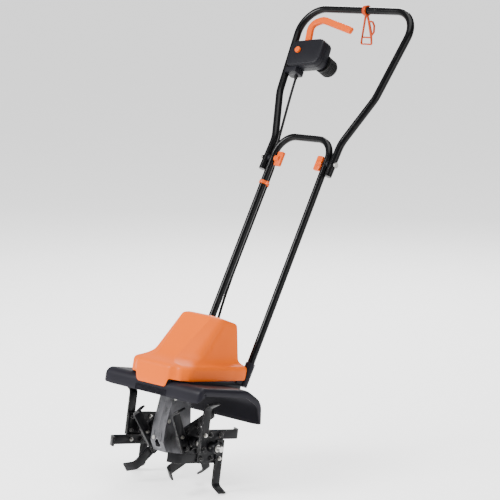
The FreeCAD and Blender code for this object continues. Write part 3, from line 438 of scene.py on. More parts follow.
@dataclass
class Paintshop:
    """Holds each finish's material and dresses meshes with it."""

    materials: dict[str, bpy.types.Material] = field(default_factory=dict)

    def get(self, slot: str) -> bpy.types.Material:
        """The material of a slot, built on first use.

        Args:
            slot: the record's slot name.

        Returns:
            The material.
        """
        if slot not in self.materials:
            self.materials[slot] = FINISHES[slot].build()
        return self.materials[slot]

    def dress(self, mesh: bpy.types.Mesh, slot: str) -> None:
        """Gives a mesh one finish.

        Args:
            mesh: the mesh.
            slot: the finish's slot name.
        """
        material = self.get(slot)
        count = max(1, len(mesh.materials))
        mesh.materials.clear()
        for _ in range(count):
            mesh.materials.append(material)


# ---- places ---------------------------------------------------------------------------------


@dataclass(frozen=True)
class Stance:
    """The machine's leans and heights in millimetres, as the frame has them."""

    axle: float = 118.005
    head_tilt: float = 12.0
    handle_tilt: float = 30.0
    upper_lean: float = 2.2
    foot: Point = (0.0, 153.0, 250.0)
    lower_half: float = 95.0
    lower_top: float = 670.0
    bolt_up: float = 603.0
    upper_half: float = 117.0
    flare_up: float = 663.0
    knee: tuple[float, float] = (170.0, 800.0)
    top: tuple[float, float] = (204.0, 1058.0)
    box_up: float = 908.0

    def turn_x(self, degrees: float) -> Matrix:
        """A turn about the shaft line's direction."""
        return Matrix.Rotation(math.radians(degrees), 4, "X")

    def head(self) -> Matrix:
        """From the head's millimetres to the machine's."""
        return Matrix.Translation((0, 0, self.axle)) @ self.turn_x(-self.head_tilt)

    def handle(self) -> Matrix:
        """From the lower handle's millimetres to the machine's."""
        return Matrix.Translation(self.foot) @ self.turn_x(-self.handle_tilt)

    def upper(self) -> Matrix:
        """From the upper handle's millimetres to the machine's."""
        lift = Matrix.Translation((0, 0, self.bolt_up))
        return self.handle() @ lift @ self.turn_x(-self.upper_lean) @ lift.inverted()

    def flare(self) -> float:
        """Lean of the legs above the knee, in radians."""
        return math.atan2(self.top[0] - self.knee[0], self.top[1] - self.knee[1])

    def leg_x(self, up: float) -> float:
        """Distance of a leg's centre from the middle, above the knee.

        Args:
            up: height up the handle.

        Returns:
            The distance in millimetres.
        """
        return self.knee[0] + (up - self.knee[1]) * math.tan(self.flare())

    def switch(self) -> Matrix:
        """From the switch box's millimetres to the machine's."""
        at = Matrix.Translation((-self.leg_x(self.box_up), 0, self.box_up))
        return self.upper() @ at @ Matrix.Rotation(-self.flare(), 4, "Y")


# ---- workshop: meshes -----------------------------------------------------------------------


@dataclass
class Workshop:
    """Makes meshes, turns them into finished pieces and hands them to the frame."""

    paint: Paintshop
    stance: Stance = field(default_factory=Stance)

    def raw(self, name: str, points: list, faces: list, place: Matrix | None = None) -> bpy.types.Object:
        """A mesh object from points in millimetres.

        Args:
            name: the object's name.
            points: corners in millimetres.
            faces: corner numbers of each face.
            place: from the points' millimetres to the machine's.

        Returns:
            The linked object, with its place in its mesh.
        """
        mesh = bpy.data.meshes.new(name)
        mesh.from_pydata([tuple(p) for p in points], [], faces)
        scale = Matrix.Scale(MM, 4)
        mesh.transform(scale @ (place or Matrix.Identity(4)))
        made = bpy.data.objects.new(name, mesh)
        bpy.context.scene.collection.objects.link(made)
        return made

    def outward(self, thing: bpy.types.Object) -> None:
        """Merges doubles and turns every face outwards."""
        work = bmesh.new()
        work.from_mesh(thing.data)
        bmesh.ops.remove_doubles(work, verts=work.verts, dist=1e-6)
        bmesh.ops.recalc_face_normals(work, faces=work.faces)
        work.to_mesh(thing.data)
        work.free()

    def bake(self, thing: bpy.types.Object) -> bpy.types.Object:
        """Turns an object with modifiers into a plain mesh object.

        Args:
            thing: the object, whose modifiers are removed.

        Returns:
            The same object with its evaluated mesh.
        """
        bpy.context.view_layer.update()
        graph = bpy.context.evaluated_depsgraph_get()
        mesh = bpy.data.meshes.new_from_object(thing.evaluated_get(graph))
        old = thing.data
        thing.modifiers.clear()
        thing.data = mesh
        mesh.name = thing.name
        bpy.data.meshes.remove(old)
        return thing

    def smooth(self, thing: bpy.types.Object, degrees: float = 38.0) -> None:
        """Smooth shading with sharp edges kept.

        Args:
            thing: the object.
            degrees: edges that turn more than this stay sharp.
        """
        mesh = thing.data
        mesh.polygons.foreach_set("use_smooth", [True] * len(mesh.polygons))
        mesh.set_sharp_from_angle(angle=math.radians(degrees))
        mesh.update()

    def bevel(self, thing: bpy.types.Object, width: float, segments: int = 3,
              degrees: float = 32.0) -> bpy.types.Object:
        """Rounds the sharp edges.

        Args:
            thing: the object.
            width: the rounding in millimetres.
            segments: steps across it.
            degrees: edges that turn less than this are left.

        Returns:
            The same object, plain again.
        """
        made = thing.modifiers.new("round", "BEVEL")
        made.width = width * MM
        made.segments = segments
        made.limit_method = "ANGLE"
        made.angle_limit = math.radians(degrees)
        made.use_clamp_overlap = True
        made.miter_outer = "MITER_ARC"
        return self.bake(thing)

    def soften(self, node: str, width: float, segments: int = 3) -> bpy.types.Object:
        """A copy of a CAD node with rounded edges.

        Args:
            node: the node's name.
            width: the rounding in millimetres.
            segments: steps across it.

        Returns:
            The copy, at the origin.
        """
        mesh = frame["nodes"][node].data.copy()
        made = bpy.data.objects.new("soft_" + node, mesh)
        bpy.context.scene.collection.objects.link(made)
        work = bmesh.new()
        work.from_mesh(mesh)
        bmesh.ops.remove_doubles(work, verts=work.verts, dist=2e-6)
        bmesh.ops.dissolve_limit(work, angle_limit=math.radians(0.6), verts=work.verts, edges=work.edges)
        work.to_mesh(mesh)
        work.free()
        if mesh.attributes.get("custom_normal"):
            mesh.attributes.remove(mesh.attributes["custom_normal"])
        if width:
            self.bevel(made, width, segments)
        self.smooth(made)
        return made

    def hand_over(self, thing: bpy.types.Object, body: Body, slot: str, *nodes: str) -> None:
        """Dresses a piece and gives it to the frame.

        Args:
            thing: the finished object.
            body: the body it rides on.
            slot: its finish.
            nodes: the CAD nodes it stands for.
        """
        self.paint.dress(thing.data, slot)
        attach(thing, body.value)
        if nodes:
            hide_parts(*nodes)
        LOG.info("%s on %s: %d faces", thing.name, body.value, len(thing.data.polygons))

    def rounded_line(self, points: list, radii: list, step: float = 4.0) -> list:
        """Straight runs joined by arcs, as points.

        Args:
            points: corners in millimetres.
            radii: one radius for each inner corner.
            step: degrees between points on an arc.

        Returns:
            The line's points.
        """
        points = [Vector(p) for p in points]
        line = [points[0]]
        for before, corner, after, radius in zip(points, points[1:], points[2:], radii):
            way_in = (corner - before).normalized()
            way_out = (after - corner).normalized()
            turn = way_in.angle(way_out)
            setback = radius * math.tan(turn / 2)
            start = corner - way_in * setback
            centre = corner + (way_out - way_in).normalized() * (radius / math.cos(turn / 2))
            axis = way_in.cross(way_out).normalized()
            steps = max(3, int(math.degrees(turn) / step))
            for number in range(steps + 1):
                spin = Matrix.Rotation(turn * number / steps, 3, axis)
                line.append(centre + spin @ (start - centre))
        line.append(points[-1])
        return line

    def sweep(self, name: str, line: list, section: list, place: Matrix, side: Point = (0, 1, 0),
              shrink: dict | None = None) -> bpy.types.Object:
        """Moves a closed section along a line, with closed ends.

        Args:
            name: the object's name.
            line: points in millimetres.
            section: (across, along side) pairs in millimetres.
            place: from the line's millimetres to the machine's.
            side: a direction that the section's second axis keeps to.
            shrink: scale of the section by point number.

        Returns:
            The object.
        """
        line = [Vector(p) for p in line]
        points = []
        faces = []
        count = len(section)
        side = Vector(side)
        for index, at in enumerate(line):
            before = line[max(0, index - 1)]
            after = line[min(len(line) - 1, index + 1)]
            way = (after - before).normalized()
            across = side.cross(way).normalized()
            up = way.cross(across).normalized()
            scale = (shrink or {}).get(index, 1.0)
            for a, b in section:
                points.append(at + across * a * scale + up * b * scale)
            if index:
                base = (index - 1) * count
                for k in range(count):
                    n = (k + 1) % count
                    faces.append((base + k, base + n, base + count + n, base + count + k))
        faces.append(tuple(range(count - 1, -1, -1)))
        faces.append(tuple(range(len(points) - count, len(points))))
        made = self.raw(name, points, faces, place)
        self.outward(made)
        return made

    def circle(self, radius: float, count: int = 28) -> list:
        """A round section."""
        return [(radius * math.cos(2 * math.pi * k / count), radius * math.sin(2 * math.pi * k / count))
                for k in range(count)]

    def rounded_section(self, half_a: float, half_b: float, corner: float, steps: int = 4) -> list:
        """A rounded rectangle section.

        Args:
            half_a: half its first size.
            half_b: half its second size.
            corner: corner radius.
            steps: steps in each corner.

        Returns:
            The section's points.
        """
        made = []
        for number, (sa, sb) in enumerate(((1, 1), (-1, 1), (-1, -1), (1, -1))):
            for step in range(steps + 1):
                angle = math.pi / 2 * (number + step / steps)
                made.append((sa * (half_a - corner) + corner * math.cos(angle),
                             sb * (half_b - corner) + corner * math.sin(angle)))
        return made


# ---- geometry nodes -------------------------------------------------------------------------


@dataclass
class NodeTree:
    """A geometry node tree under construction."""

    name: str

    def __post_init__(self) -> None:
        """Starts the tree with a geometry in and out."""
        self.tree = bpy.data.node_groups.new(self.name, "GeometryNodeTree")
        self.tree.interface.new_socket("Geometry", in_out="INPUT", socket_type="NodeSocketGeometry")
        self.tree.interface.new_socket("Geometry", in_out="OUTPUT", socket_type="NodeSocketGeometry")
        self.start = self.tree.nodes.new("NodeGroupInput")
        self.end = self.tree.nodes.new("NodeGroupOutput")
        self.names: dict[str, str] = {}

    def size(self, name: str, kind: str, value: object) -> None:
        """Adds a named input.

        Args:
            name: the input's name.
            kind: its socket type.
            value: its default.
        """
        item = self.tree.interface.new_socket(name, in_out="INPUT", socket_type=kind)
        if value is not None:
            item.default_value = value
        self.names[name] = item.identifier

    def node(self, kind: str, settings: dict | None = None, inputs: dict | None = None) -> bpy.types.Node:
        """Adds any node.

        Args:
            kind: the node's type.
            settings: its own settings.
            inputs: values, sockets, or "=Name" for a named input, by socket name or number.

        Returns:
            The node.
        """
        made = self.tree.nodes.new(kind)
        for key, value in (settings or {}).items():
            setattr(made, key, value)
        for key, value in (inputs or {}).items():
            target = made.inputs[key]
            if isinstance(value, str) and value.startswith("="):
                self.tree.links.new(self.start.outputs[value[1:]], target)
            elif isinstance(value, bpy.types.NodeSocket):
                self.tree.links.new(value, target)
            else:
                target.default_value = value
        return made

    def close(self, geometry: bpy.types.NodeSocket, material: bpy.types.Material) -> None:
        """Ends the tree with real geometry and its material.

        Args:
            geometry: what comes out.
            material: its finish.
        """
        real = self.node("GeometryNodeRealizeInstances", None, {0: geometry})
        done = self.node("GeometryNodeSetMaterial", None, {"Geometry": real.outputs[0], "Material": material})
        self.tree.links.new(done.outputs[0], self.end.inputs[0])

    def run(self, shop: Workshop, carrier: bpy.types.Object, values: dict) -> bpy.types.Object:
        """Runs the tree on an object and leaves a plain mesh.

        Args:
            shop: the workshop.
            carrier: the object that carries the points.
            values: named inputs.

        Returns:
            The object with the result.
        """
        made = carrier.modifiers.new(self.name, "NODES")
        made.node_group = self.tree
        for name, value in values.items():
            made[self.names[name]] = value
        return shop.bake(carrier)


@dataclass
class HexFasteners:
    """Hexagon heads with washers, one at each given place."""

    shop: Workshop
    slot: str = "bright_steel"

    def tree(self) -> NodeTree:
        """The node tree with sizes for the head and the washer."""
        made = NodeTree("hex_fasteners")
        for name, value in (("Across", 0.0065), ("Height", 0.0045), ("Washer", 0.0085), ("Point", 0.003)):
            made.size(name, "NodeSocketFloat", value)
        hexagon = made.node("GeometryNodeMeshCylinder", None,
                            {"Vertices": 6, "Radius": "=Across", "Depth": "=Height"})
        washer = made.node("GeometryNodeMeshCylinder", None,
                           {"Vertices": 24, "Radius": "=Washer", "Depth": 0.0012})
        stud = made.node("GeometryNodeMeshCylinder", None,
                         {"Vertices": 16, "Radius": "=Point", "Depth": 0.003})
        half = made.node("ShaderNodeMath", {"operation": "MULTIPLY"}, {0: "=Height", 1: 0.5})
        rise = made.node("ShaderNodeCombineXYZ", None, {"Z": half.outputs[0]})
        top = made.node("ShaderNodeMath", {"operation": "ADD"}, {0: "=Height", 1: 0.0004})
        crest = made.node("ShaderNodeCombineXYZ", None, {"Z": top.outputs[0]})
        lifted = made.node("GeometryNodeTransform", None,
                           {"Geometry": hexagon.outputs[0], "Translation": rise.outputs[0]})
        tip = made.node("GeometryNodeTransform", None,
                        {"Geometry": stud.outputs[0], "Translation": crest.outputs[0]})
        joined = made.node("GeometryNodeJoinGeometry")
        for part in (lifted, washer, tip):
            made.tree.links.new(part.outputs[0], joined.inputs[0])
        facing = made.node("GeometryNodeInputNamedAttribute", {"data_type": "FLOAT_VECTOR"},
                           {"Name": "facing"})
        turn = made.node("FunctionNodeAlignRotationToVector", {"axis": "Z"},
                         {"Vector": facing.outputs[0]})
        placed = made.node("GeometryNodeInstanceOnPoints", None,
                           {"Points": "=Geometry", "Instance": joined.outputs[0],
                            "Rotation": turn.outputs[0]})
        made.close(placed.outputs[0], self.shop.paint.get(self.slot))
        return made

    def build(self, name: str, places: list, place: Matrix, sizes: dict) -> bpy.types.Object:
        """Makes the fasteners.

        Args:
            name: the object's name.
            places: (point, facing) pairs in millimetres.
            place: from their millimetres to the machine's.
            sizes: named sizes in metres.

        Returns:
            The object.
        """
        made = self.shop.raw(name, [p for p, _ in places], [], place)
        facing = made.data.attributes.new("facing", "FLOAT_VECTOR", "POINT")
        turn = place.to_3x3()
        for index, (_, way) in enumerate(places):
            facing.data[index].vector = turn @ Vector(way)
        self.tree().run(self.shop, made, sizes)
        self.shop.smooth(made)
        return made


@dataclass
class RowOfSlats:
    """A straight row of equal bars."""

    shop: Workshop
    slot: str

    def tree(self) -> NodeTree:
        """The node tree with the row's count, step and bar size."""
        made = NodeTree("row_of_slats")
        made.size("Count", "NodeSocketInt", 9)
        made.size("Step", "NodeSocketVector", (0.01, 0.0, 0.0))
        made.size("Start", "NodeSocketVector", (0.0, 0.0, 0.0))
        made.size("Bar", "NodeSocketVector", (0.003, 0.003, 0.02))
        bar = made.node("GeometryNodeMeshCube", None, {"Size": "=Bar"})
        row = made.node("GeometryNodeMeshLine", None, {"Count": "=Count", "Start Location": "=Start",
                                                       "Offset": "=Step"})
        placed = made.node("GeometryNodeInstanceOnPoints", None,
                           {"Points": row.outputs[0], "Instance": bar.outputs[0]})
        made.close(placed.outputs[0], self.shop.paint.get(self.slot))
        return made

    def build(self, name: str, place: Matrix, values: dict) -> bpy.types.Object:
        """Makes the row.

        Args:
            name: the object's name.
            place: from its millimetres to the machine's.
            values: named sizes in metres.

        Returns:
            The object.
        """
        made = self.shop.raw(name, [(0, 0, 0)], [])
        self.tree().run(self.shop, made, values)
        grow = Matrix.Scale(1 / MM, 4)
        made.data.transform(Matrix.Scale(MM, 4) @ place @ grow)
        return made


@dataclass
class RoundRibs:
    """Round ribs one behind another on an axis."""

    shop: Workshop
    slot: str

    def tree(self) -> NodeTree:
        """The node tree with the ribs' count, step, radius and thickness."""
        made = NodeTree("round_ribs")
        made.size("Count", "NodeSocketInt", 5)
        made.size("Step", "NodeSocketVector", (0.0, 0.0, 0.006))
        made.size("Radius", "NodeSocketFloat", 0.02)
        made.size("Thick", "NodeSocketFloat", 0.002)
        ring = made.node("GeometryNodeCurvePrimitiveCircle", {"mode": "RADIUS"},
                         {"Resolution": 48, "Radius": "=Radius"})
        profile = made.node("GeometryNodeCurvePrimitiveCircle", {"mode": "RADIUS"},
                            {"Resolution": 10, "Radius": "=Thick"})
        rib = made.node("GeometryNodeCurveToMesh", None,
                        {"Curve": ring.outputs[0], "Profile Curve": profile.outputs[0]})
        row = made.node("GeometryNodeMeshLine", None, {"Count": "=Count", "Offset": "=Step"})
        placed = made.node("GeometryNodeInstanceOnPoints", None,
                           {"Points": row.outputs[0], "Instance": rib.outputs[0]})
        made.close(placed.outputs[0], self.shop.paint.get(self.slot))
        return made

    def build(self, name: str, place: Matrix, values: dict) -> bpy.types.Object:
        """Makes the ribs.

        Args:
            name: the object's name.
            place: from their millimetres, axis up +Z, to the machine's.
            values: named sizes in metres.

        Returns:
            The object.
        """
        made = self.shop.raw(name, [(0, 0, 0)], [])
        self.tree().run(self.shop, made, values)
        made.data.transform(Matrix.Scale(MM, 4) @ place @ Matrix.Scale(1 / MM, 4))
        self.shop.smooth(made, 60.0)
        return made


# ---- the machine's sub-assemblies -----------------------------------------------------------


@dataclass
class HoodRing:
    """One level outline of the hood, in the head's millimetres."""

    half: float
    brow: float
    front: float
    shoulder: float
    back: float
    front_up: float
    back_up: float
    round_front: float = 20.0
    round_side: float = 20.0
    round_back: float = 20.0
    nose: float = 0.0
    drop: float = 0.0

    def between(self, other: "HoodRing", share: float) -> "HoodRing":
        """A ring part of the way to another."""
        mine = vars(self)
        return HoodRing(**{key: mine[key] + (vars(other)[key] - mine[key]) * share for key in mine})


@dataclass
class Hood:
    """The orange motor hood: a flanged skirt with a nose and a wedge-shaped crown."""

    shop: Workshop
    wall: float = 2.6
    nose_half: float = 53.0
    nose_edge: float = 3.5
    nose_out: float = 11.0
    front_marks: tuple = (0.9, 0.83, 0.775, 0.716, 0.55, 0.35, 0.15)

    def rings(self) -> list[HoodRing]:
        """The outlines from the lower edge to the top.

        Returns:
            The rings.
        """
        skirt = [
            HoodRing(104.5, 83, -95.5, -74, 128.5, 151, 164, 23, 23, 22, 1.0, 20.5),
            HoodRing(105.8, 84, -96.6, -75, 129.7, 152.5, 165.5, 24, 24, 23, 1.0, 19.0),
            HoodRing(106.4, 84, -97.0, -75, 130.0, 160, 173, 24, 24, 24, 1.0, 12.0),
            HoodRing(106.4, 84, -97.0, -75, 130.0, 174, 186, 24, 24, 24, 1.0, 3.0),
            HoodRing(106.0, 84, -96.5, -75, 129.7, 181, 192, 24, 24, 24, 0.97, 0.0),
            HoodRing(104.2, 82, -94.5, -74, 128.0, 185.5, 196.2, 23, 24, 23, 0.9, 0.0),
            HoodRing(100.5, 78, -91.0, -73, 125.0, 188.6, 199.2, 22, 24, 22, 0.75, 0.0),
            HoodRing(94.5, 60, -88.0, -74, 120.0, 191.0, 201.5, 12, 26, 20, 0.6, 0.0),
            HoodRing(89.0, 48, -82.0, -68, 114.0, 195.0, 205.5, 8, 32, 18, 0.3, 0.0),
            HoodRing(86.0, 38, -72.0, -52, 110.5, 201.0, 211.0, 6, 40, 17, 0.1, 0.0),
        ]
        foot = HoodRing(84.4, 32, -62.0, -36, 109.0, 209, 219, 3.5, 46, 16)
        crest = HoodRing(77.0, 50, 13.0, 36, 96.0, 303, 293, 3.5, 34, 12)
        crown = [foot.between(crest, share) for share in (0, 0.12, 0.25, 0.4, 0.55, 0.7, 0.85, 1.0)]
        top = [
            HoodRing(75.7, 49, 16.5, 38, 94.4, 308.0, 297.6, 5, 28, 11),
            HoodRing(72.5, 47, 21.0, 40, 91.0, 311.8, 300.8, 5, 24, 10),
            HoodRing(66.5, 43, 27.0, 42, 85.0, 313.6, 302.6, 5, 18, 9),
            HoodRing(48.0, 38, 34.0, 42, 74.0, 314.2, 303.8, 5, 7, 7),
            HoodRing(20.0, 14, 46.0, 50, 64.0, 312.5, 306.0, 3, 4, 4),
        ]
        return skirt + crown + top

    def outline(self, ring: HoodRing) -> list[Vector]:
        """The points round one ring.

        Args:
            ring: the ring.

        Returns:
            The points, the same number for each ring.
        """
        corners = [((-ring.brow, ring.front), ring.round_front), ((ring.brow, ring.front), ring.round_front),
                   ((ring.half, ring.shoulder), ring.round_side), ((ring.half, ring.back), ring.round_back),
                   ((-ring.half, ring.back), ring.round_back), ((-ring.half, ring.shoulder), ring.round_side)]
        flat = []
        for index, (corner, radius) in enumerate(corners):
            before = Vector(corners[index - 1][0])
            after = Vector(corners[(index + 1) % 6][0])
            corner = Vector(corner)
            way_in = (corner - before).normalized()
            way_out = (after - corner).normalized()
            turn = way_in.angle(way_out)
            setback = radius * math.tan(turn / 2)
            centre = corner + (way_out - way_in).normalized() * (radius / math.cos(turn / 2))
            spoke = corner - way_in * setback - centre
            spin = 1 if way_in.x * way_out.y - way_in.y * way_out.x > 0 else -1
            for step in range(8):
                angle = spin * turn * step / 7
                flat.append(centre + Vector((spoke.x * math.cos(angle) - spoke.y * math.sin(angle),
                                             spoke.x * math.sin(angle) + spoke.y * math.cos(angle))))
            start = flat[-1]
            stop_setback = corners[(index + 1) % 6][1]
            if index == 0:
                half = -start.x
                marks = [-m for m in self.front_marks] + [0.0] + list(reversed(self.front_marks))
                flat.extend(Vector((m * half, ring.front)) for m in marks)
            elif index in (2, 4):
                end = after - way_out * stop_setback
                flat.extend(start.lerp(end, share) for share in (0.2, 0.4, 0.6, 0.8))
        points = []
        length = ring.back - ring.front
        for at in flat:
            share = (at.y - ring.front) / length
            up = ring.front_up + (ring.back_up - ring.front_up) * share
            depth = at.y
            if at.y < ring.front + 30 and ring.nose:
                fade = min(1.0, max(0.0, (76.0 - abs(at.x)) / 22.0))
                fade = fade * fade * (3 - 2 * fade)
                near = min(1.0, max(0.0, (ring.front + 30 - at.y) / 30.0))
                depth -= self.nose_out * ring.nose * fade * near
                lip = min(1.0, max(0.0, (self.nose_half + self.nose_edge - abs(at.x)) / self.nose_edge))
                up -= ring.drop * lip * near
            points.append(Vector((at.x, depth, up)))
        return points

    def build(self) -> None:
        """Makes the hood."""
        points = []
        faces = []
        rings = self.rings()
        for number, ring in enumerate(rings):
            outline = self.outline(ring)
            count = len(outline)
            points.extend(outline)
            if number:
                base = (number - 1) * count
                for k in range(count):
                    n = (k + 1) % count
                    faces.append((base + k, base + n, base + count + n, base + count + k))
        last = len(points) - count
        middle = sum((points[last + k] for k in range(count)), Vector()) / count
        points.append(middle)
        faces.extend((last + k, last + (k + 1) % count, len(points) - 1) for k in range(count))
        hood = self.shop.raw("hood_shell", points, faces, self.shop.stance.head())
        self.shop.outward(hood)
        shell = hood.modifiers.new("wall", "SOLIDIFY")
        shell.thickness = self.wall * MM
        shell.offset = -1.0
        fine = hood.modifiers.new("fine", "SUBSURF")
        fine.levels = 1
        fine.render_levels = 1
        self.shop.bake(hood)
        self.shop.smooth(hood, 50.0)
        self.shop.hand_over(hood, Body.CHASSIS, "hood_orange", "hood")


@dataclass
class Guard:
    """The black guard over the tines, its grille under the hood's nose, and the motor's tray."""

    shop: Workshop
    front: float = -105.0
    lip_low: float = 108.0
    slot_high: float = 125.5
    slats: int = 27
    step: float = 4.1
    profile: tuple = ((-105.0, 108.0), (-105.0, 148.0), (62.0, 148.0), (118.0, 122.0), (128.0, 62.0))
    bends: tuple = (20.0, 60.0, 40.0)
    half: float = 175.0
    rim: float = 11.0
    rim_steps: int = 6
    skirt: float = 8.0
    corner: float = 36.0
    row_step: float = 12.0
    bevel: float = 0.9
    wall: float = 2.8
    notch_half: float = 56.5
    notch_low: float = 136.0
    notch_back: float = -90.0
    opening_half: float = 96.0
    opening: tuple = (-80.0, 84.0)

    def across(self) -> list:
        """The sheet's section from side to side.

        Returns:
            (place, depth, unrolled place) for each column.
        """
        flat = self.half - self.rim
        places = (0.0, 28.0, self.notch_half, 76.0, self.opening_half, 118.0, 142.0, flat)
        right = [(x, 0.0, x) for x in places]
        for step in range(1, self.rim_steps + 1):
            angle = math.pi / 2 * step / self.rim_steps
            right.append((flat + self.rim * math.sin(angle), self.rim * (1 - math.cos(angle)),
                          flat + self.rim * angle))
        right.append((self.half, self.rim + self.skirt, right[-1][2] + self.skirt))
        return [(-x, depth, -length) for x, depth, length in reversed(right[1:])] + right

    def along(self) -> tuple:
        """The sheet's bent line from the lip over the top and down behind.

        Returns:
            The bent line's corners and the lengths along it at which rows stand.
        """
        line = self.shop.rounded_line([(0, y, z) for y, z in self.profile], list(self.bends), 6.0)
        ends = [0.0]
        for a, b in zip(line, line[1:]):
            ends.append(ends[-1] + (b - a).length)
        stops = sorted({round(v, 3) for v in ends} | {self.notch_low - self.lip_low})
        rows = [stops[0]]
        for stop in stops[1:]:
            pieces = max(1, math.ceil((stop - rows[-1]) / self.row_step))
            start = rows[-1]
            rows.extend(start + (stop - start) * k / pieces for k in range(1, pieces + 1))
        return line, ends, rows

    def at(self, line: list, ends: list, length: float) -> tuple:
        """The point and outward direction at a length along the bent line."""
        for number in range(1, len(ends)):
            if length <= ends[number] + 1e-6 or number == len(ends) - 1:
                share = (length - ends[number - 1]) / (ends[number] - ends[number - 1])
                way = (line[number] - line[number - 1]).normalized()
                if share > 0.999 and number < len(ends) - 1:
                    way = (way + (line[number + 1] - line[number]).normalized()).normalized()
                return line[number - 1].lerp(line[number], share), Vector((0, -way.z, way.y))

    def sheet(self) -> bpy.types.Object:
        """The guard, bent from one sheet with rounded corners and turned-down sides."""
        line, ends, rows = self.along()
        across = self.across()
        reach = across[-1][2]
        points = []
        for length in rows:
            for x, depth, unrolled in across:
                past = max(0.0, abs(unrolled) - (reach - self.corner))
                low = self.corner - math.sqrt(max(0.0, self.corner ** 2 - past ** 2))
                point, normal = self.at(line, ends, min(max(length, low), rows[-1] - low))
                points.append(Vector((x, 0, 0)) + point - normal * depth)
        faces = []
        wide = len(across)
        for i in range(len(rows) - 1):
            for j in range(wide - 1):
                corners = (i * wide + j, i * wide + j + 1, (i + 1) * wide + j + 1, (i + 1) * wide + j)
                centre = sum((points[c] for c in corners), Vector()) / 4
                inside = abs(centre.x) < self.opening_half and self.opening[0] < centre.y < self.opening[1]
                front = centre.y < self.notch_back and centre.z > self.notch_low
                nose = front and abs(centre.x) < self.notch_half
                if not inside and not nose:
                    faces.append(corners)
        made = self.shop.raw("guard_sheet", points, faces, self.shop.stance.head())
        work = bmesh.new()
        work.from_mesh(made.data)
        bmesh.ops.remove_doubles(work, verts=work.verts, dist=2e-5)
        bmesh.ops.dissolve_degenerate(work, edges=work.edges, dist=1e-5)
        bmesh.ops.delete(work, geom=[v for v in work.verts if not v.link_faces], context="VERTS")
        work.to_mesh(made.data)
        work.free()
        shell = made.modifiers.new("wall", "SOLIDIFY")
        shell.thickness = self.wall * MM
        shell.offset = -1.0
        self.shop.bake(made)
        self.shop.bevel(made, self.bevel, 2, 50.0)
        self.shop.smooth(made, 45.0)
        return made

    def build(self) -> None:
        """Makes the guard, the grille's slats and the tray."""
        guard = self.sheet()
        self.shop.hand_over(guard, Body.CHASSIS, "guard_black", "tine_guard")
        tray = self.shop.soften("base_tray", 1.4, 2)
        self.shop.hand_over(tray, Body.CHASSIS, "guard_black", "base_tray")
        middle = (self.lip_low + self.slot_high) / 2
        start = -(self.slats - 1) / 2 * self.step
        slats = RowOfSlats(self.shop, "guard_black").build("grille_slats", self.shop.stance.head(), {
            "Count": self.slats, "Step": (self.step * MM, 0.0, 0.0),
            "Start": (start * MM, (self.front + 1.0) * MM, middle * MM),
            "Bar": (0.0019, 0.0052, (self.slot_high - self.lip_low - 3.0) * MM)})
        self.shop.hand_over(slats, Body.CHASSIS, "guard_black")


@dataclass
class Gearbox:
    """The die-cast leg that holds the worm gear."""

    shop: Workshop
    front: float = -57.0
    half: float = 23.0
    rib_at: float = 13.0

    def build(self) -> None:
        """Makes the two halves with rounded edges and the screws' heads."""
        for node in ("gearbox_left", "gearbox_right"):
            half = self.shop.soften(node, 2.6, 3)
            self.shop.hand_over(half, Body.CHASSIS, "cast_alloy", node)
        for side, word in ((-1, "left"), (1, "right")):
            line = [(side * self.rib_at, self.front - 0.2, up) for up in (16.0, 0.0, -10.0)]
            rib = self.shop.sweep("case_rib_" + word, line, self.shop.rounded_section(1.6, 1.3, 1.1),
                                  self.shop.stance.head(), (0, 1, 0), {0: 0.6, 2: 0.6})
            self.shop.smooth(rib)
            self.shop.hand_over(rib, Body.CHASSIS, "cast_alloy")
        places = [((self.half + 0.4, self.front + 10.0, 42.0), (1, 0, 0)),
                  ((self.half + 0.4, self.front + 20.0, 100.0), (1, 0, 0)),
                  ((self.half + 0.4, self.front + 58.0, 100.0), (1, 0, 0)),
                  ((self.half + 0.4, 22.0, -29.0), (1, 0, 0))]
        heads = HexFasteners(self.shop).build("case_bolts", places, self.shop.stance.head(), {
            "Across": 0.0045, "Height": 0.0024, "Washer": 0.0056, "Point": 0.0001})
        self.shop.hand_over(heads, Body.CHASSIS, "bright_steel", "gearbox_screws")


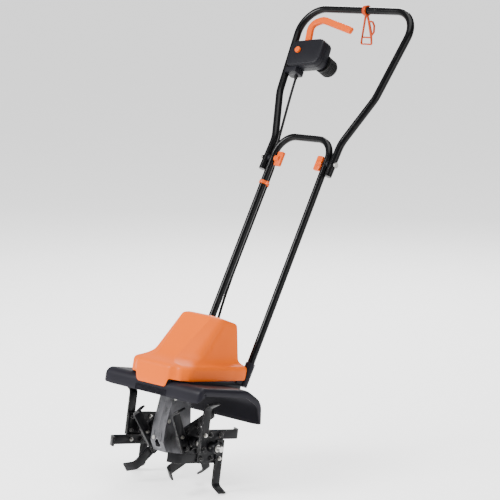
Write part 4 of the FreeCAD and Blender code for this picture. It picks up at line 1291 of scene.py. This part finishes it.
@dataclass
class TineStars:
    """Four stars of bent blades bolted to square plates on the shaft."""

    shop: Workshop
    stations: tuple = (("left_outer", -130.0, -10.0, (-1, 1, -1, 1)),
                       ("left_inner", -62.0, 30.0, (1, -1, 1, -1)),
                       ("right_inner", 62.0, 18.0, (1, 1, -1, -1)),
                       ("right_outer", 130.0, -10.0, (1, -1, 1, -1)))
    beside: float = -29.0
    bolts_up: tuple = (-5.0, 29.0)
    plate: float = 4.0
    blade: float = 5.0

    def bolt_places(self) -> tuple:
        """Every bolt head and nut.

        Returns:
            The clean heads and the soiled rest, as (point, facing) pairs about the shaft in millimetres.
        """
        clean = []
        soiled = []
        for _, at_x, turn, sides in self.stations:
            for quarter, side in enumerate(sides):
                spin = Matrix.Rotation(math.radians(turn + quarter * 90), 3, "X")
                for up in self.bolts_up:
                    at = spin @ Vector((0, self.beside, up))
                    head = at_x + side * (self.plate / 2 + self.blade + 0.5)
                    nut = at_x - side * (self.plate / 2 + 0.5)
                    group = clean if up == self.bolts_up[-1] else soiled
                    group.append(((head, at.y, at.z), (side, 0, 0)))
                    soiled.append(((nut, at.y, at.z), (-side, 0, 0)))
        return clean, soiled

    def build(self) -> None:
        """Makes the blades, plates and bolts."""
        for name, _, _, _ in self.stations:
            blades = self.shop.soften("tines_" + name, 1.0, 2)
            self.shop.hand_over(blades, Body.TINES, "tine_black", "tines_" + name)
            plate = self.shop.soften("hub_" + name, 0.9, 2)
            self.shop.hand_over(plate, Body.TINES, "tine_black", "hub_" + name)
        lift = Matrix.Translation((0, 0, self.shop.stance.axle))
        clean, soiled = self.bolt_places()
        heads = HexFasteners(self.shop).build("tine_hex_bolts", clean, lift, {
            "Across": 0.0045, "Height": 0.0035, "Washer": 0.0052, "Point": 0.0026})
        self.shop.hand_over(heads, Body.TINES, "bright_steel", "tine_bolts")
        nuts = HexFasteners(self.shop).build("tine_hex_nuts", soiled, lift, {
            "Across": 0.0058, "Height": 0.004, "Washer": 0.0068, "Point": 0.003})
        self.shop.hand_over(nuts, Body.TINES, "tine_black")


@dataclass
class Handles:
    """The lower arch, the upper loop, their pads, knobs and clip."""

    shop: Workshop
    lower_r: float = 9.5
    upper_r: float = 9.95
    lower_corner: float = 55.0
    upper_corner: float = 70.0
    upper_bend: float = 90.0
    tail: float = 34.0

    def ends(self, line: list) -> dict:
        """Slight rounding of a tube's two ends."""
        return {0: 0.9, len(line) - 1: 0.9}

    def tube(self, name: str, points: list, radii: list, radius: float, place: Matrix) -> bpy.types.Object:
        """One bent tube.

        Args:
            name: its name.
            points: corners in millimetres.
            radii: bend radii.
            radius: the tube's radius.
            place: from the corners' millimetres to the machine's.

        Returns:
            The tube.
        """
        line = self.shop.rounded_line(points, radii, 3.0)
        first = line[0].lerp(line[1], 0.8 / (line[1] - line[0]).length)
        last = line[-1].lerp(line[-2], 0.8 / (line[-1] - line[-2]).length)
        line = [line[0], first] + line[1:-1] + [last, line[-1]]
        made = self.shop.sweep(name, line, self.shop.circle(radius, 36), place, (0, 1, 0), self.ends(line))
        self.shop.smooth(made)
        return made

    def build(self) -> None:
        """Makes the tubes and the parts on them."""
        at = self.shop.stance
        low = self.tube("lower_tube", [(-at.lower_half, 0, 0), (-at.lower_half, 0, at.lower_top),
                                       (at.lower_half, 0, at.lower_top), (at.lower_half, 0, 0)],
                        [self.lower_corner] * 2, self.lower_r, at.handle())
        self.shop.hand_over(low, Body.CHASSIS, "tube_black", "lower_handle")
        half = at.upper_half
        foot = at.bolt_up - self.tail
        knee_x, knee_up = at.knee
        top_x, top_up = at.top
        loop = self.tube("upper_tube", [
            (-half, 0, foot), (-half, 0, at.flare_up), (-knee_x, 0, knee_up), (-top_x, 0, top_up),
            (top_x, 0, top_up), (knee_x, 0, knee_up), (half, 0, at.flare_up), (half, 0, foot)],
            [self.upper_bend, self.upper_bend, self.upper_corner, self.upper_corner, self.upper_bend,
             self.upper_bend], self.upper_r, at.upper())
        self.shop.hand_over(loop, Body.HANDLE_TOP, "tube_black", "upper_handle")
        for node, slot, body, width in (("handle_saddles", "box_black", Body.CHASSIS, 1.0),
                                        ("handle_sockets", "guard_black", Body.CHASSIS, 1.8),
                                        ("cable_clip", "control_orange", Body.CHASSIS, 0.9),
                                        ("knob_left", "control_orange", Body.LEFT_KNOB, 2.0),
                                        ("knob_right", "control_orange", Body.RIGHT_KNOB, 2.0),
                                        ("cord_hook", "hook_orange", Body.HOOK, 1.5)):
            made = self.shop.soften(node, width, 3)
            self.shop.hand_over(made, body, slot, node)


@dataclass
class SwitchGear:
    """The switch box with its lever, button, strap, cable gland and ribbed inlet."""

    shop: Workshop
    lever_points: tuple = ((50.0, 22.0), (40.0, 96.0), (78.0, 107.0), (190.0, 62.0))
    lever_radii: tuple = (22.0, 40.0)
    lever_section: tuple = (9.8, 5.9, 3.6)
    inlet_at: tuple = (101.0, 24.0, -17.0)
    inlet_out: float = 36.0
    inlet_r: float = 26.0
    bore: float = 17.0
    case_middle: float = 61.5
    case_half: float = 57.5
    case_tall: float = 40.0
    case_corner: float = 20.0
    case_rings: tuple = ((-17.0, -7.5), (-16.6, -5.0), (-15.2, -2.6), (-12.6, -0.9), (-9.5, 0.0), (-0.7, 0.0),
                         (-0.5, -0.7), (0.5, -0.7), (0.7, 0.0), (17.5, 0.0), (20.4, -0.9), (22.6, -2.6),
                         (23.7, -5.0), (24.0, -7.5))
    slot: tuple = (10.0, 76.0, 7.0, 30.0, 45.0)

    def case(self) -> None:
        """Makes the box with round corners, the groove between its halves and the lever's slot."""
        points = []
        faces = []
        for depth, inset in self.case_rings:
            ring = self.shop.rounded_section(self.case_half + inset, self.case_tall + inset,
                                             self.case_corner + inset, 7)
            count = len(ring)
            base = len(points)
            points.extend((self.case_middle + a, depth, b) for a, b in ring)
            if base:
                below = base - count
                faces.extend((below + k, below + (k + 1) % count, base + (k + 1) % count, base + k)
                             for k in range(count))
        faces.append(tuple(range(count)))
        faces.append(tuple(range(len(points) - count, len(points))))
        case = self.shop.raw("switch_case", points, faces, self.shop.stance.switch())
        self.shop.outward(case)
        near, far, side, low, high = self.slot
        corners = [(x, y, z) for z in (low, high) for y in (-side, side) for x in (near, far)]
        tool = self.shop.raw("slot_tool", corners, [(0, 2, 3, 1), (4, 5, 7, 6), (0, 1, 5, 4), (2, 6, 7, 3),
                                                    (0, 4, 6, 2), (1, 3, 7, 5)], self.shop.stance.switch())
        self.shop.outward(tool)
        cut = case.modifiers.new("slot", "BOOLEAN")
        cut.object = tool
        cut.solver = "EXACT"
        self.shop.bake(case)
        bpy.data.objects.remove(tool)
        self.shop.smooth(case, 30.0)
        self.shop.hand_over(case, Body.HANDLE_TOP, "box_black", "switch_box_front", "switch_box_back")

    def lever(self) -> None:
        """Makes the lever with a rounded tip."""
        points = [(x, 0, z) for x, z in self.lever_points]
        line = self.shop.rounded_line(points, list(self.lever_radii), 4.0)
        tip = line[-1]
        run = (line[-1] - line[-2]).normalized()
        line[-1:] = [tip - run * 9, tip - run * 5, tip - run * 2, tip]
        count = len(line)
        shrink = {count - 3: 0.97, count - 2: 0.86, count - 1: 0.6}
        arm = self.shop.sweep("lever_arm", line, self.shop.rounded_section(*self.lever_section),
                              self.shop.stance.switch(), (0, 1, 0), shrink)
        self.shop.smooth(arm, 50.0)
        self.shop.hand_over(arm, Body.LEVER, "control_orange", "switch_lever")

    def inlet(self) -> None:
        """Makes the inlet's shroud and its round ribs."""
        toward = Matrix.Rotation(math.radians(-90), 4, "X")
        place = self.shop.stance.switch() @ Matrix.Translation(self.inlet_at) @ toward
        profile = [(self.bore, self.inlet_out), (self.bore, 6.0), (0.01, 6.0), (0.01, 0.0),
                   (self.inlet_r, 0.0), (self.inlet_r, 3.0), (self.inlet_r - 2.5, 4.0),
                   (self.inlet_r - 3.0, self.inlet_out - 2.0), (self.inlet_r - 3.5, self.inlet_out)]
        shroud = self.turned("inlet_shroud", profile, place)
        self.shop.hand_over(shroud, Body.HANDLE_TOP, "rubber_black", "plug_inlet")
        ribs = RoundRibs(self.shop, "rubber_black").build(
            "inlet_ribs", place @ Matrix.Translation((0, 0, 7.0)),
            {"Count": 5, "Step": (0.0, 0.0, 0.0056), "Radius": (self.inlet_r - 2.4) * MM, "Thick": 0.0021})
        self.shop.hand_over(ribs, Body.HANDLE_TOP, "rubber_black")

    def turned(self, name: str, profile: list, place: Matrix, steps: int = 56) -> bpy.types.Object:
        """Turns a closed profile about its axis.

        Args:
            name: the object's name.
            profile: (radius, height) pairs in millimetres.
            place: from their millimetres to the machine's.
            steps: steps round the axis.

        Returns:
            The object.
        """
        points = []
        faces = []
        count = len(profile)
        for step in range(steps):
            angle = 2 * math.pi * step / steps
            points.extend((r * math.cos(angle), r * math.sin(angle), z) for r, z in profile)
            base = step * count
            ahead = (step + 1) % steps * count
            for k in range(count):
                n = (k + 1) % count
                faces.append((base + k, ahead + k, ahead + n, base + n))
        made = self.shop.raw(name, points, faces, place)
        work = bmesh.new()
        work.from_mesh(made.data)
        bmesh.ops.remove_doubles(work, verts=work.verts, dist=5e-5)
        bmesh.ops.dissolve_degenerate(work, edges=work.edges, dist=1e-6)
        bmesh.ops.recalc_face_normals(work, faces=work.faces)
        work.to_mesh(made.data)
        work.free()
        self.shop.smooth(made, 30.0)
        return made

    def build(self) -> None:
        """Makes the box and all that is on it."""
        self.case()
        for node, slot, body, width in (("switch_box_clamp", "box_black", Body.HANDLE_TOP, 2.0),
                                        ("cable_gland", "rubber_black", Body.HANDLE_TOP, 0.8),
                                        ("lock_button", "control_orange", Body.BUTTON, 2.0)):
            made = self.shop.soften(node, width, 4)
            self.shop.hand_over(made, body, slot, node)
        self.lever()
        self.inlet()


@dataclass
class PowerCable:
    """The thin cable from the switch box down the left leg into the hood."""

    shop: Workshop
    radius: float = 3.5
    behind: float = 15.5
    stop: float = 18.0
    start: float = 25.0

    def route(self) -> list[Vector]:
        """The points that the cable follows.

        Returns:
            The points in the machine's millimetres.
        """
        at = self.shop.stance
        switch = at.switch()
        handle = at.handle()
        head = at.head()
        return [
            switch @ Vector((26, 17, -38)), switch @ Vector((26, 17, -90)),
            at.upper() @ Vector((-at.knee[0] + 30, 20, at.knee[1] - 35)),
            at.upper() @ Vector((-at.upper_half + 4, 17, at.bolt_up + self.start)),
            handle @ Vector((-at.lower_half, self.behind, at.bolt_up - self.stop)),
            handle @ Vector((-at.lower_half, self.behind, 560)),
            handle @ Vector((-at.lower_half, self.behind, 520)),
            handle @ Vector((-at.lower_half, self.behind, 130)),
            head @ Vector((-68, 176, 190)), head @ Vector((-62, 130, 180)), head @ Vector((-62, 122, 180)),
        ]

    def build(self) -> None:
        """Makes the cable as one smooth piece that runs past the handle's bolts."""
        curve = bpy.data.curves.new("cable_line", "CURVE")
        curve.dimensions = "3D"
        curve.bevel_depth = self.radius * MM
        curve.bevel_resolution = 5
        curve.resolution_u = 10
        curve.use_fill_caps = True
        line = curve.splines.new("NURBS")
        points = self.route()
        line.points.add(len(points) - 1)
        for knot, at in zip(line.points, points):
            knot.co = (*(at * MM), 1.0)
        line.order_u = 3
        line.use_endpoint_u = True
        holder = bpy.data.objects.new("cable_line", curve)
        bpy.context.scene.collection.objects.link(holder)
        bpy.context.view_layer.update()
        mesh = bpy.data.meshes.new_from_object(holder.evaluated_get(bpy.context.evaluated_depsgraph_get()))
        bpy.data.objects.remove(holder)
        cable = bpy.data.objects.new("power_cable", mesh)
        bpy.context.scene.collection.objects.link(cable)
        self.shop.outward(cable)
        self.shop.smooth(cable)
        self.shop.paint.dress(cable.data, "rubber_black")
        handle = self.shop.stance.handle()
        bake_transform(cable)
        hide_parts("cable_upper", "cable_lower")
        LOG.info("power_cable bends between chassis and handle_top")


@dataclass
class Studio:
    """Pale floor, soft lights and the camera."""

    shop: Workshop
    camera_at: Point = (3.27895, -3.06525, 1.34169)
    camera_turn: Point = (80.5, 0.0, 44.5)
    lens: float = 133.2

    def floor(self) -> None:
        """Lays a large pale floor under the tine tips."""
        half = 90000.0
        floor = self.shop.raw("floor", [(-half, -half, -0.4), (half, -half, -0.4), (half, half, -0.4),
                                        (-half, half, -0.4)], [(0, 1, 2, 3)])
        mix = Recipe("pale_floor")
        colour = mix.blend(mix.noise(3.0, 3.0), (0.86, 0.86, 0.86), (0.9, 0.9, 0.9))
        floor.data.materials.append(mix.dress(colour, 0.7, Emission_Color=(1.0, 1.0, 1.0, 1.0),
                                              Emission_Strength=1.2))

    def light(self, name: str, at: Point, size: float, power: float) -> None:
        """Hangs one square light that faces the machine.

        Args:
            name: its name.
            at: its place in metres.
            size: side in metres.
            power: watts.
        """
        lamp = bpy.data.lights.new(name, "AREA")
        lamp.size = size
        lamp.energy = power
        made = bpy.data.objects.new(name, lamp)
        made.location = at
        made.rotation_euler = (Vector((0.0, 0.2, 0.5)) - Vector(at)).to_track_quat("-Z", "Y").to_euler()
        bpy.context.scene.collection.objects.link(made)

    def build(self) -> None:
        """Sets the floor, the lights, the pale surroundings and the camera."""
        self.floor()
        self.light("key", (-1.6, -3.0, 2.9), 1.8, 330.0)
        self.light("side", (3.4, 0.4, 1.6), 1.8, 45.0)
        self.light("rear", (-1.6, 2.6, 2.4), 1.6, 110.0)
        self.light("top", (0.3, 0.3, 4.2), 3.0, 160.0)
        world = bpy.data.worlds.new("pale_room")
        world.use_nodes = True
        sky = world.node_tree.nodes["Background"]
        sky.inputs["Color"].default_value = (1.0, 1.0, 1.0, 1.0)
        sky.inputs["Strength"].default_value = 0.3
        bpy.context.scene.world = world
        camera = bpy.data.cameras.new("camera")
        camera.lens = self.lens
        camera.sensor_width = 36.0
        camera.clip_end = 300.0
        made = bpy.data.objects.new("camera", camera)
        made.location = self.camera_at
        made.rotation_euler = tuple(math.radians(a) for a in self.camera_turn)
        bpy.context.scene.collection.objects.link(made)
        bpy.context.scene.camera = made


def dress_frame(paint: Paintshop) -> None:
    """Gives every CAD node its slot's finish.

    Args:
        paint: the finishes.
    """
    for entry in frame["record"]["subparts"]:
        node = frame["nodes"].get(entry["node"])
        if node is not None:
            paint.dress(node.data, entry["material_slot"])


def main() -> None:
    """Builds the machine and sets the studio."""
    paint = Paintshop()
    shop = Workshop(paint)
    dress_frame(paint)
    for part in (Hood(shop), Guard(shop), Gearbox(shop), TineStars(shop), Handles(shop), SwitchGear(shop),
                 PowerCable(shop)):
        part.build()
        LOG.info("%s done", type(part).__name__)
    Studio(shop).build()


if __name__ == "__main__":
    main()
